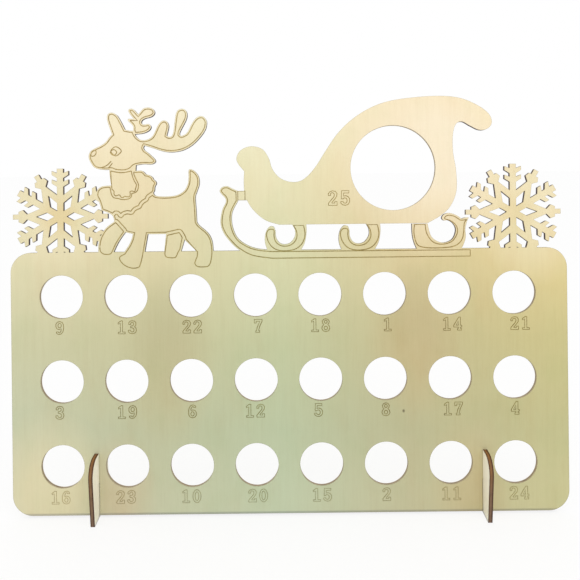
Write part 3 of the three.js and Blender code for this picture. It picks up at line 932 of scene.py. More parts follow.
    jaw: Shares = (
        (0.318, 0.594), (0.297, 0.574), (0.268, 0.562), (0.236, 0.559), (0.192, 0.564),
        (0.164, 0.575), (0.149, 0.573),
    )
    ruff_hem: Shares = (
        (0.167, 0.433), (0.173, 0.405), (0.184, 0.388), (0.21, 0.383), (0.241, 0.375),
        (0.276, 0.379), (0.29, 0.39), (0.296, 0.414), (0.329, 0.426), (0.339, 0.464),
        (0.323, 0.501), (0.308, 0.54), (0.311, 0.571),
    )
    neck_front: Shares = ((0.158, 0.564), (0.16, 0.518), (0.163, 0.467), (0.167, 0.434))
    neck_hem: Shares = (
        (0.181, 0.423), (0.179, 0.405), (0.19, 0.39), (0.206, 0.394),
        (0.219, 0.397), (0.227, 0.383), (0.241, 0.377), (0.254, 0.387), (0.269, 0.383),
        (0.288, 0.385), (0.293, 0.403), (0.291, 0.418), (0.305, 0.423), (0.324, 0.418),
        (0.33, 0.439), (0.337, 0.466), (0.326, 0.485), (0.312, 0.517), (0.305, 0.545),
        (0.302, 0.562),
    )
    neck_top: Shares = ((0.271, 0.555), (0.236, 0.551), (0.198, 0.555), (0.158, 0.564))
    collar: Shares = (
        (0.171, 0.255), (0.186, 0.272), (0.207, 0.27), (0.225, 0.25), (0.243, 0.267),
        (0.271, 0.275), (0.301, 0.272), (0.316, 0.291), (0.335, 0.304), (0.357, 0.313),
        (0.367, 0.332), (0.383, 0.348), (0.406, 0.363), (0.415, 0.382), (0.433, 0.395),
        (0.453, 0.408),
    )
    hind_hoof: Shares = (
        (0.77, 0.18), (0.82, 0.137), (0.846, 0.103), (0.862, 0.055), (0.868, -0.01),
        (0.862, -0.061), (0.852, -0.095), (0.826, -0.119), (0.754, -0.119), (0.726, -0.089),
        (0.733, -0.058), (0.743, -0.034), (0.745, -0.01),
    )
    belly: Shares = ((0.663, 0.097), (0.645, 0.129), (0.632, 0.141), (0.613, 0.138), (0.539, 0.122))
    fore_hoof: Shares = (
        (0.379, -0.055), (0.361, -0.109), (0.337, -0.123), (0.299, -0.125), (0.256, -0.111),
        (0.222, -0.085), (0.202, -0.05), (0.21, -0.025), (0.243, -0.006),
    )
    foreleg_back: Shares = ((0.257, 0.013), (0.28, 0.047), (0.299, 0.088), (0.308, 0.124))
    chest: Shares = ((0.251, 0.152), (0.223, 0.184), (0.196, 0.213), (0.18, 0.212))
    far_foreleg_back: Shares = ((0.23, 0.102), (0.202, 0.058), (0.178, 0.009))
    far_fore_hoof: Shares = (
        (0.173, -0.002), (0.16, -0.02), (0.136, -0.028), (0.106, -0.026), (0.084, -0.015),
        (0.069, 0.005), (0.066, 0.037),
    )
    far_hind_hoof: Shares = (
        (0.63, -0.014), (0.621, -0.036), (0.601, -0.055), (0.55, -0.054), (0.525, -0.041),
        (0.517, -0.016),
    )
    eye: Shares = ((0.234, 0.702), (0.196, 0.732), (0.161, 0.702), (0.195, 0.668))
    pupil: Shares = ((0.202, 0.692), (0.181, 0.713), (0.157, 0.693), (0.181, 0.672))
    nose: Shares = (
        (0.022, 0.672), (0.04, 0.668), (0.056, 0.682), (0.058, 0.703), (0.045, 0.709),
        (0.028, 0.697),
    )
    mouth: Shares = ((0.093, 0.587), (0.131, 0.602), (0.163, 0.632))
    cheek: Shares = ((0.143, 0.586), (0.157, 0.6), (0.17, 0.618))

    def patch(self) -> Patch:
        """The square that the reindeer is drawn in."""
        return Patch(self.left, self.bottom, self.size, self.size)

    def outline(self) -> list[Point]:
        """The reindeer's cut edge, which runs down into the panel."""
        return self.patch().ring((
            self.far_foreleg, self.ruff_under, self.ruff_left, self.throat, self.face,
            self.front_ear, self.crown, *self.far_antler, *self.near_antler, self.back_ear,
            self.nape, *self.ruff_right, self.back, self.hind_leg, ((0.068, self.buried),),
        ))

    def gaps(self) -> list[list[Point]]:
        """The openings between the legs."""
        return [self.patch().ring(gap) for gap in self.leg_gaps]

    def lines(self, depth: float) -> list[Line]:
        """Engraved lines: each part of the body outlined just inside its edge.

        Where two parts share an edge, the second one runs the first one's points backwards.

        Args:
            depth: how far inside the edge they run.

        Returns:
            The lines in millimetres.
        """
        patch = self.patch()
        parts: tuple[Stretches, ...] = (
            (
                self.face, self.front_ear, self.crown, ((0.329, 0.817),), *self.near_antler,
                self.back_ear, self.jaw,
            ),
            (((0.318, 0.842),), *self.far_antler),
            (
                self.ruff_left, self.ruff_hem, self.nape, *self.ruff_right,
                self.collar[-2::-1], self.ruff_under[1:],
            ),
            (
                self.collar, self.back, self.hind_hoof, ((0.667, 0.079),), self.belly,
                ((0.412, 0.121),), ((0.388, -0.01),), self.fore_hoof, self.foreleg_back,
                ((0.256, 0.136),), self.chest, ((0.17, 0.25),),
            ),
            (
                self.far_foreleg, self.chest[-2::-1], ((0.256, 0.136),), self.far_foreleg_back,
                self.far_fore_hoof,
            ),
            (((0.539, 0.122),), self.belly[-2::-1], ((0.644, 0.008),), self.far_hind_hoof),
        )
        drawn = [Line(inset(patch.ring(part), depth)) for part in parts]
        drawn.append(Line(patch.ring((self.neck_top, self.neck_front, self.neck_hem))))
        drawn += [Line(patch.loop(shares)) for shares in (self.eye, self.pupil, self.nose)]
        drawn += [Line(patch.line(shares), closed=False) for shares in (self.mouth, self.cheek)]
        return drawn


# Sleigh
@dataclass(frozen=True)
class Sleigh:
    """The sleigh, its runner, the tie at its front and the three struts."""

    body: Patch = Patch(-36.0, 200.7, 178.5, 88.4)
    runner: Patch = Patch(-47.5, 176.3, 175.0, 51.6)
    struts: tuple[Patch, ...] = (
        Patch(-16.5, 181.0, 28.8, 21.7),
        Patch(34.9, 181.0, 28.8, 21.7),
    )
    tail: Patch = Patch(85.9, 181.0, 39.8, 26.6)
    tie: Patch = Patch(-36.7, 218.0, 8.0, 6.5)
    tie_line: Patch = Patch(-34.9, 217.9, 5.0, 6.5)
    treat_hole: Point = (73.2, 239.5)
    treat_hole_diameter: float = 59.0
    treat_number: Point = (35.5, 223.9)
    treat_number_height: float = 10.2

    body_shares: Stretches = (
        (
            (0.002, 0.52), (0.013, 0.577), (0.039, 0.611), (0.07, 0.619), (0.105, 0.594),
            (0.128, 0.527), (0.142, 0.44), (0.169, 0.372), (0.206, 0.339), (0.244, 0.339),
            (0.276, 0.376), (0.311, 0.456), (0.35, 0.577), (0.392, 0.7), (0.446, 0.81),
            (0.518, 0.905), (0.599, 0.964), (0.706, 0.993), (0.807, 1.0), (0.882, 0.979),
            (0.948, 0.92), (0.989, 0.852), (0.999, 0.785), (0.982, 0.739), (0.95, 0.729),
            (0.913, 0.764), (0.883, 0.796), (0.859, 0.776), (0.847, 0.692), (0.847, 0.559),
            (0.858, 0.413), (0.859, 0.258), (0.838, 0.143), (0.802, 0.066), (0.745, 0.0),
        ),
        ((0.166, 0.0),),
        ((0.11, 0.04), (0.061, 0.13), (0.035, 0.232), (0.03, 0.328), (0.032, 0.423)),
        ((0.012, 0.472),),
    )
    runner_shares: Stretches = (
        (
            (0.051, 0.967), (0.031, 1.0), (0.01, 0.988), (0.0, 0.936), (0.009, 0.886),
            (0.021, 0.843), (0.024, 0.787), (0.009, 0.674), (0.002, 0.51), (0.013, 0.378),
            (0.037, 0.262), (0.071, 0.149), (0.126, 0.045), (0.205, 0.0),
        ),
        ((1.0, 0.0),),
        ((1.0, 0.13),),
        ((0.205, 0.134),),
        (
            (0.147, 0.157), (0.104, 0.211), (0.068, 0.31), (0.049, 0.475), (0.049, 0.64),
            (0.072, 0.797),
        ),
        ((0.071, 0.936),),
    )
    strut_shares: Stretches = (
        ((1.014, 0.689), (0.965, 0.316), (0.83, 0.0)),
        ((0.09, 0.0),),
        ((0.01, 0.311), (0.007, 0.565), (0.059, 0.763), (0.142, 0.87), (0.229, 0.842)),
        (
            (0.264, 0.706), (0.274, 0.52), (0.344, 0.35), (0.469, 0.282), (0.622, 0.339),
            (0.729, 0.542), (0.722, 0.768), (0.618, 1.0),
        ),
        ((1.0, 1.0),),
    )
    strut_line: Shares = (
        (0.94, 0.877), (0.975, 0.613), (0.945, 0.41), (0.875, 0.259), (0.757, 0.135),
        (0.587, 0.077), (0.419, 0.073), (0.272, 0.116), (0.163, 0.219), (0.085, 0.373),
        (0.048, 0.542), (0.05, 0.644), (0.075, 0.721), (0.121, 0.761), (0.175, 0.765),
        (0.222, 0.743), (0.23, 0.675), (0.225, 0.573), (0.24, 0.438), (0.295, 0.315),
        (0.395, 0.235), (0.53, 0.22), (0.655, 0.275), (0.745, 0.397), (0.782, 0.549),
        (0.762, 0.72), (0.695, 0.882),
    )
    tail_shares: Stretches = (
        ((0.008, 0.447), (0.043, 0.211), (0.108, 0.0)),
        ((0.829, 0.0),),
        ((0.894, 0.146), (0.94, 0.358), (0.937, 0.589), (0.965, 0.772)),
        ((1.0, 0.878),),
        ((0.932, 0.878), (0.872, 0.846)),
        (
            (0.789, 0.935), (0.668, 1.0), (0.57, 0.972), (0.525, 0.878), (0.56, 0.805),
            (0.636, 0.809), (0.724, 0.724), (0.769, 0.553), (0.704, 0.313), (0.528, 0.228),
            (0.347, 0.378), (0.276, 0.73),
        ),
        ((0.0, 0.73),),
    )
    tail_line: Shares = (
        (0.048, 0.709), (0.036, 0.524), (0.05, 0.358), (0.084, 0.206), (0.138, 0.136),
        (0.249, 0.101), (0.396, 0.088), (0.563, 0.096), (0.71, 0.121), (0.812, 0.194),
        (0.878, 0.317), (0.905, 0.482), (0.915, 0.703), (0.935, 0.78), (0.96, 0.82),
        (0.9, 0.81), (0.854, 0.808), (0.8, 0.86), (0.735, 0.915), (0.643, 0.94),
        (0.585, 0.9), (0.575, 0.85), (0.605, 0.835), (0.669, 0.8), (0.742, 0.73),
        (0.79, 0.62), (0.795, 0.484), (0.75, 0.34), (0.69, 0.25), (0.59, 0.195),
        (0.472, 0.19), (0.37, 0.245), (0.3, 0.36), (0.25, 0.52), (0.235, 0.706),
    )

    def outlines(self) -> list[list[Point]]:
        """The cut edges of the sleigh's parts, which overlap where they join."""
        return [
            self.body.ring(self.body_shares),
            self.runner.ring(self.runner_shares),
            *(strut.ring(self.strut_shares) for strut in self.struts),
            self.tail.ring(self.tail_shares),
            self.tie.corners(),
        ]

    def lines(self, depth: float) -> list[Line]:
        """Engraved lines on the runner, the struts and the tie."""
        drawn = [Line(inset(self.runner.ring(self.runner_shares), depth))]
        drawn += [
            Line(strut.ring((self.strut_line, self.strut_line[:1])))
            for strut in self.struts
        ]
        drawn.append(Line(self.tail.ring((self.tail_line, self.tail_line[:1]))))
        drawn.append(Line(self.tie_line.corners()))
        return drawn


# Snowflakes
@dataclass(frozen=True)
class Snowflake:
    """A snowflake of barbed arms, with thinner forked twigs between them."""

    centre: Point
    arms: int = 6
    arm_length: float = 33.4
    arm_half_width: float = 2.2
    barb_reach: float = 5.8
    barb_bases: tuple[float, ...] = (26.8, 20.8)
    barb_root: float = 3.6
    barb_low: float = 2.2
    barb_high: float = 5.0
    twig_length: float = 33.0
    twig_half_width: float = 1.75
    twig_barb_start: float = 23.2
    twig_barb_end: float = 29.1
    twig_barb_reach: float = 4.8
    twig_barb_tip: float = 3.6
    fork_inner: float = 16.9
    fork_spread: float = 5.9
    fork_root: float = 13.4
    fork_inner_spread: float = 3.4
    fork_inner_root: float = 7.8

    def arm(self) -> list[Point]:
        """The right side of an arm that points up, from its tip down."""
        half = [(self.arm_half_width, self.arm_length)]
        for base in self.barb_bases:
            half += [
                (self.arm_half_width, base + self.barb_root),
                (self.barb_reach, base + self.barb_high),
                (self.barb_reach, base + self.barb_low),
                (self.arm_half_width, base),
            ]
        return [*half, (self.arm_half_width, 0.0)]

    def twig(self) -> list[Point]:
        """The right side of a twig, from its tip down to its fork."""
        middle = (self.twig_barb_start + self.twig_barb_end) / 2
        return [
            (self.twig_half_width, self.twig_length),
            (self.twig_half_width, self.twig_barb_end),
            (self.twig_barb_tip, self.twig_barb_end),
            (self.twig_barb_reach, middle),
            (self.twig_half_width, self.twig_barb_start),
            (self.fork_spread, self.fork_root),
            (self.fork_inner_spread, self.fork_inner_root),
            (0.0, self.fork_inner),
        ]

    def turned(self, half: list[Point], angle: float) -> list[Point]:
        """One whole arm from its right side, turned about the flake's middle."""
        left = [(-x, y) for x, y in reversed(half) if x > 0.0]
        cosine, sine = math.cos(angle), math.sin(angle)
        return [
            (self.centre[0] + x * cosine - y * sine, self.centre[1] + x * sine + y * cosine)
            for x, y in [*half, *left]
        ]

    def outlines(self) -> list[list[Point]]:
        """Every arm and twig of the flake."""
        rings = []
        for arm in range(self.arms):
            angle = 2 * math.pi * arm / self.arms
            rings.append(self.turned(self.arm(), angle))
            rings.append(self.turned(self.twig(), angle + math.pi / self.arms))
        return rings


# Numerals
@dataclass(frozen=True)
class Oval:
    """An oval in shares of a figure's height: its middle, half width and half height."""

    across: float
    up: float
    wide: float
    tall: float

    def ring(self, turns: Iterable[float]) -> Shares:
        """The points of the oval at the given turns."""
        return tuple(
            (self.across + self.wide * math.cos(turn), self.up + self.tall * math.sin(turn))
            for turn in turns
        )


@dataclass(frozen=True)
class Figure:
    """One figure drawn in outline: its edge, the eyes inside it and a pointed notch."""

    edge: Shares
    eyes: tuple[Oval, ...] = ()
    notch: Shares = ()


SIX = Figure(
    edge=(
        (0.58, 0.84), (0.54, 0.94), (0.40, 1.0), (0.22, 0.96), (0.08, 0.80), (0.02, 0.52),
        (0.04, 0.22), (0.14, 0.06), (0.32, 0.0), (0.50, 0.05), (0.62, 0.20), (0.62, 0.42),
        (0.52, 0.57), (0.36, 0.62), (0.20, 0.56), (0.22, 0.72), (0.30, 0.85), (0.38, 0.88),
        (0.42, 0.84), (0.42, 0.80), (0.58, 0.80),
    ),
    eyes=(Oval(0.33, 0.31, 0.13, 0.17),),
)


@dataclass(frozen=True)
class Numerals:
    """Slab figures engraved in outline; shares are of a figure's height."""

    pitch: float = 0.85
    width: float = 0.66
    eye_points: int = 16
    figures: tuple[Figure, ...] = (
        Figure(
            edge=Oval(0.33, 0.5, 0.31, 0.5).ring(0.3 * turn for turn in range(21)),
            eyes=(Oval(0.33, 0.5, 0.14, 0.34),),
        ),
        Figure(edge=(
            (0.08, 0.74), (0.08, 0.85), (0.30, 1.0), (0.42, 1.0), (0.42, 0.13), (0.62, 0.13),
            (0.62, 0.0), (0.08, 0.0), (0.08, 0.13), (0.25, 0.13), (0.25, 0.80),
        )),
        Figure(edge=(
            (0.03, 0.68), (0.03, 0.80), (0.12, 0.93), (0.32, 1.0), (0.52, 0.95), (0.62, 0.80),
            (0.60, 0.62), (0.48, 0.45), (0.28, 0.22), (0.26, 0.16), (0.46, 0.16), (0.46, 0.26),
            (0.62, 0.26), (0.62, 0.0), (0.03, 0.0), (0.03, 0.15), (0.26, 0.42), (0.40, 0.58),
            (0.44, 0.72), (0.40, 0.83), (0.30, 0.87), (0.20, 0.84), (0.18, 0.77), (0.18, 0.68),
        )),
        Figure(edge=(
            (0.05, 0.72), (0.05, 0.86), (0.18, 0.98), (0.34, 1.0), (0.52, 0.96), (0.61, 0.82),
            (0.58, 0.62), (0.48, 0.54), (0.60, 0.44), (0.64, 0.28), (0.58, 0.10), (0.42, 0.01),
            (0.28, 0.0), (0.10, 0.05), (0.02, 0.16), (0.02, 0.28), (0.18, 0.28), (0.20, 0.18),
            (0.30, 0.13), (0.42, 0.17), (0.46, 0.28), (0.42, 0.40), (0.30, 0.46), (0.20, 0.46),
            (0.20, 0.60), (0.32, 0.60), (0.42, 0.68), (0.43, 0.78), (0.38, 0.86), (0.30, 0.88),
            (0.22, 0.85), (0.20, 0.79), (0.20, 0.72),
        )),
        Figure(
            edge=(
                (0.40, 1.0), (0.54, 1.0), (0.54, 0.38), (0.64, 0.38), (0.64, 0.24), (0.54, 0.24),
                (0.54, 0.13), (0.62, 0.13), (0.62, 0.0), (0.30, 0.0), (0.30, 0.13), (0.37, 0.13),
                (0.37, 0.24), (0.02, 0.24), (0.02, 0.38),
            ),
            notch=((0.20, 0.38), (0.37, 0.38), (0.37, 0.72)),
        ),
        Figure(edge=(
            (0.08, 1.0), (0.58, 1.0), (0.58, 0.84), (0.22, 0.84), (0.21, 0.62), (0.34, 0.66),
            (0.52, 0.60), (0.63, 0.44), (0.62, 0.22), (0.52, 0.06), (0.34, 0.0), (0.14, 0.04),
            (0.02, 0.16), (0.02, 0.26), (0.18, 0.26), (0.22, 0.17), (0.32, 0.14), (0.42, 0.19),
            (0.46, 0.32), (0.42, 0.46), (0.32, 0.51), (0.22, 0.49), (0.18, 0.44), (0.06, 0.44),
        )),
        SIX,
        Figure(edge=(
            (0.03, 0.72), (0.03, 1.0), (0.63, 1.0), (0.63, 0.86), (0.44, 0.45), (0.36, 0.13),
            (0.44, 0.13), (0.44, 0.0), (0.14, 0.0), (0.14, 0.13), (0.20, 0.13), (0.26, 0.42),
            (0.46, 0.85), (0.18, 0.85), (0.18, 0.72),
        )),
        Figure(
            edge=(
                (0.32, 1.0), (0.50, 0.95), (0.60, 0.80), (0.56, 0.62), (0.48, 0.54), (0.60, 0.42),
                (0.64, 0.24), (0.54, 0.06), (0.33, 0.0), (0.12, 0.06), (0.02, 0.24), (0.06, 0.42),
                (0.18, 0.54), (0.10, 0.62), (0.06, 0.80), (0.16, 0.95),
            ),
            eyes=(Oval(0.33, 0.76, 0.11, 0.12), Oval(0.33, 0.28, 0.13, 0.14)),
        ),
        Figure(
            edge=tuple((0.66 - across, 1.0 - up) for across, up in SIX.edge),
            eyes=(Oval(0.33, 0.69, 0.13, 0.17),),
        ),
    )

    def figure(self, digit: int, left: float, bottom: float, height: float) -> list[Line]:
        """The rings that draw one figure.

        Args:
            digit: which figure.
            left: its left side on the sheet.
            bottom: its foot on the sheet.
            height: its height.

        Returns:
            Its edge and its eyes, as closed lines.
        """
        drawn = self.figures[digit]
        rings = [drawn.edge]
        if drawn.notch:
            rings.append(drawn.notch)
        turns = [2 * math.pi * step / self.eye_points for step in range(self.eye_points)]
        rings += [eye.ring(turns) for eye in drawn.eyes]
        return [
            Line([(left + across * height, bottom + up * height) for across, up in ring])
            for ring in rings
        ]

    def number(self, value: int, top: Point, height: float) -> list[Line]:
        """A whole number with the middle of its top edge at a point."""
        digits = [int(digit) for digit in str(value)]
        span = ((len(digits) - 1) * self.pitch + self.width) * height
        start = top[0] - span / 2
        return [
            line
            for place, digit in enumerate(digits)
            for line in self.figure(
                digit, start + place * self.pitch * height, top[1] - height, height
            )
        ]


# Panel
@dataclass(frozen=True)
class Day:
    """One day of the calendar: its number, its place in the rows and its number's shift."""

    number: int
    column: int
    row: int
    shift: float


@dataclass
class CalendarPanel:
    """The panel with its day holes, its figures and its engraving, cut from one sheet."""

    workshop: Workshop
    stance: Stance
    stock: Stock = Stock()
    numerals: Numerals = Numerals()
    reindeer: Reindeer = Reindeer()
    sleigh: Sleigh = Sleigh()
    width: float = 387.0
    height: float = 183.0
    sheet_height: float = 289.0
    score_pitch: float = 10.0
    score_offset: Point = (0.37, 4.37)
    corner: float = 14.0
    corner_step: float = 5.0
    edge_margin: float = 1.0
    hole_diameter: float = 30.0
    first_column: float = -158.5
    column_pitch: float = 45.0
    lowest_row: float = 34.0
    row_pitch: float = 59.0
    numeral_height: float = 9.0
    numeral_drop: float = 2.0
    foot_middle: float = 135.0
    slot_half_width: float = 1.8
    slot_depth: float = 22.0
    flake_rise: float = 25.0
    treat_day: int = 25
    days: tuple[tuple[int, ...], ...] = (
        (9, 13, 22, 7, 18, 1, 14, 21),
        (3, 19, 6, 12, 5, 8, 17, 4),
        (16, 23, 10, 20, 15, 2, 11, 24),
    )
    shift_shares: tuple[tuple[float, ...], ...] = (
        (-0.03, 0.01, 0.02, 0.04, 0.0, 0.04, 0.04, 0.09),
        (-0.04, 0.0, 0.01, -0.02, -0.04, 0.0, 0.04, 0.0),
        (-0.04, -0.03, -0.02, 0.01, 0.0, 0.0, 0.0, 0.05),
    )

    def outline(self) -> list[Point]:
        """The panel's rectangle with its four round corners."""
        side, low = self.width / 2 - self.corner, self.corner
        high = self.height - self.corner
        corners = ((side, low), (side, high), (-side, high), (-side, low))
        ring = []
        for turn, middle in enumerate(corners):
            ring += quarter(middle, self.corner, 90 * (turn - 1), self.corner_step)
        return ring

    def calendar(self) -> list[Day]:
        """Every day with its place."""
        return [
            Day(
                number, column, len(self.days) - 1 - line,
                self.shift_shares[line][column] * self.column_pitch,
            )
            for line, numbers in enumerate(self.days)
            for column, number in enumerate(numbers)
        ]

    def hole(self, column: int, row: int) -> Point:
        """The middle of a day's hole."""
        return (
            self.first_column + column * self.column_pitch,
            self.lowest_row + row * self.row_pitch,
        )

    def flakes(self) -> list[Snowflake]:
        """The two snowflakes, over the first and the last column."""
        last = len(self.days[0]) - 1
        return [
            Snowflake((self.hole(column, 0)[0], self.height + self.flake_rise))
            for column in (0, last)
        ]

    def sheet(self) -> bpy.types.Object:
        """Saw out the panel and join the figures that grow from its top edge.

        Returns:
            The joined sheet, still lying flat.
        """
        back = -self.stock.thickness
        panel = self.workshop.blank(self.outline(), back, 0.0)
        deer = self.workshop.blank(self.reindeer.outline(), back, 0.0)
        self.workshop.combine(deer, self.through(self.reindeer.gaps()), Cut.AWAY)
        rings = self.sleigh.outlines()
        for flake in self.flakes():
            rings += flake.outlines()
        blanks = [deer, *(self.workshop.blank(ring, back, 0.0) for ring in rings)]
        self.workshop.combine(panel, blanks, Cut.JOIN)
        return panel

    def reach(self) -> tuple[float, float]:
        """The heights between which a cutter passes right through the sheet."""
        return (-self.stock.thickness - self.stock.overrun, self.stock.overrun)

    def through(self, rings: Iterable[Sequence[Point]]) -> list[bpy.types.Object]:
        """Cutters that pass right through the sheet."""
        return [self.workshop.blank(ring, *self.reach()) for ring in rings]

    def drills(self) -> list[bpy.types.Object]:
        """Cutters for the day holes, the large hole and the slots for the feet."""
        holes = [(self.hole(day.column, day.row), self.hole_diameter) for day in self.calendar()]
        holes.append((self.sleigh.treat_hole, self.sleigh.treat_hole_diameter))
        tools = [self.workshop.drill(*hole, *self.reach()) for hole in holes]
        low, half = -self.stock.overrun, self.slot_half_width
        slots = [
            Patch(middle - half, low, 2 * half, self.slot_depth - low)
            for middle in (-self.foot_middle, self.foot_middle)
        ]
        return tools + self.through(slot.corners() for slot in slots)

    def numbers(self) -> list[Line]:
        """The lines of every number on the calendar."""
        lines = []
        for day in self.calendar():
            across, up = self.hole(day.column, day.row)
            top = (across + day.shift, up - self.hole_diameter / 2 - self.numeral_drop)
            lines += self.numerals.number(day.number, top, self.numeral_height)
        lines += self.numerals.number(
            self.treat_day, self.sleigh.treat_number, self.sleigh.treat_number_height
        )
        return lines

    def engrave(self, panel: bpy.types.Object) -> None:
        """Cut every engraved line into the front face."""
        inside = self.stock.line_inset
        figures = [*self.reindeer.lines(inside), *self.sleigh.lines(inside)]
        burrs = [self.workshop.burr(line, self.stock.figure_line) for line in figures]
        burrs += [self.workshop.burr(line, self.stock.numeral_line) for line in self.numbers()]
        self.workshop.combine(panel, burrs, Cut.AWAY)

    def face_of(self, polygon: bpy.types.MeshPolygon) -> Face:
        """Tell a face by where it lies on the flat sheet."""
        across, up, depth = polygon.center / MILLIMETRE
        skin, margin = self.stock.skin, self.edge_margin
        if self.stock.level(polygon) and (depth > -skin or depth < skin - self.stock.thickness):
            return Face.VENEER
        if depth > -self.stock.deepest_groove:
            return Face.GROOVE
        treat = math.dist((across, up), self.sleigh.treat_hole)
        bored = treat < self.sleigh.treat_hole_diameter / 2 + margin
        beside = abs(across) > self.width / 2 - margin
        within = margin < up < self.height - margin and not beside
        return Face.HOLE if within or bored else Face.WALL

    def score(self, panel: bpy.types.Object) -> None:
        """Score the sheet into squares, from side to side and up to its top."""
        across, up = self.score_offset
        columns = math.ceil(self.width / 2 / self.score_pitch)
        rows = math.ceil(self.sheet_height / self.score_pitch)
        self.workshop.score(
            panel,
            [step * self.score_pitch + across for step in range(-columns, columns)],
            [step * self.score_pitch + up for step in range(rows)],
        )

    def build(self, finishes: Finishes) -> bpy.types.Object:
        """Make the whole panel and stand it in the frame.

        Args:
            finishes: a material for each kind of face.

        Returns:
            The finished piece.
        """
        panel = self.sheet()
        self.workshop.combine(panel, self.drills(), Cut.AWAY)
        self.score(panel)
        self.engrave(panel)
        dress(panel, finishes, self.face_of)
        self.workshop.settle(panel, "plywood_panel", self.stance.matrix())
        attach(panel, "panel")
        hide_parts("calendar_panel")
        return panel


# Feet
@dataclass
class Foot:
    """A foot: an upright plate with round top corners, slotted for the leaning panel."""

    workshop: Workshop
    node: str
    across: float
    stock: Stock = Stock()
    lean: float = 8.0
    panel_lift: float = 1.5
    panel_front: float = -15.607
    front: float = 12.0
    back: float = 28.0
    height: float = 44.0
    corner: float = 12.0
    corner_step: float = 3.0
    slot_seat: float = 21.7
    slot_clearance: float = 0.3
    slot_overrun: float = 6.0

    def outline(self) -> list[Point]:
        """The foot seen from the side: x runs back from the panel's front bottom edge."""
        level = self.height - self.corner
        rear, fore = (self.back - self.corner, level), (self.corner - self.front, level)
        return [
            (-self.front, 0.0), (self.back, 0.0),
            *quarter(rear, self.corner, 0, self.corner_step),
            *quarter(fore, self.corner, 90, self.corner_step),
        ]

    def slot(self) -> list[Point]:
        """The slot that follows the leaning panel down to its seat."""
        sine, cosine = math.sin(math.radians(self.lean)), math.cos(math.radians(self.lean))
        low, high = self.slot_seat, self.height + self.slot_overrun
        near, far = -self.slot_clearance, self.stock.thickness + self.slot_clearance
        return [
            (behind * cosine + along * sine, self.panel_lift - behind * sine + along * cosine)
            for behind, along in ((near, low), (far, low), (far, high), (near, high))
        ]

    def stance(self) -> Stance:
        """The foot stands on edge, its plate facing sideways."""
        return Stance(
            (self.across * MILLIMETRE, self.panel_front * MILLIMETRE, 0.0), (90.0, 0.0, 90.0)
        )

    def face_of(self, polygon: bpy.types.MeshPolygon) -> Face:
        """Tell the foot's two flat faces from its cut edge."""
        return Face.VENEER if self.stock.level(polygon) else Face.WALL

    def build(self, finishes: Finishes) -> bpy.types.Object:
        """Make the foot and stand it under the panel.

        Args:
            finishes: a material for each kind of face.

        Returns:
            The finished piece.
        """
        half = self.stock.thickness / 2
        past = half + self.stock.overrun
        foot = self.workshop.blank(self.outline(), -half, half)
        self.workshop.combine(foot, [self.workshop.blank(self.slot(), -past, past)], Cut.AWAY)
        dress(foot, finishes, self.face_of)
        self.workshop.settle(foot, f"plywood_{self.node}", self.stance().matrix())
        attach(foot, self.node)
        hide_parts(self.node)
        return foot


# Studio
@dataclass(frozen=True)
class Lamp:
    """A soft lamp that faces a point."""

    name: str
    place: Place
    aim: Place
    size: float
    watts: float
    tint: Colour = WHITE

    def hang(self) -> None:
        """Put the lamp up."""
        bpy.ops.object.light_add(type="AREA", location=self.place)
        lamp = bpy.context.active_object
        lamp.name = self.name
        lamp.data.shape = "DISK"
        lamp.data.size = self.size
        lamp.data.energy = self.watts
        lamp.data.color = linear(self.tint)[:3]
        facing = Vector(self.aim) - Vector(self.place)
        lamp.rotation_euler = facing.to_track_quat("-Z", "Y").to_euler()


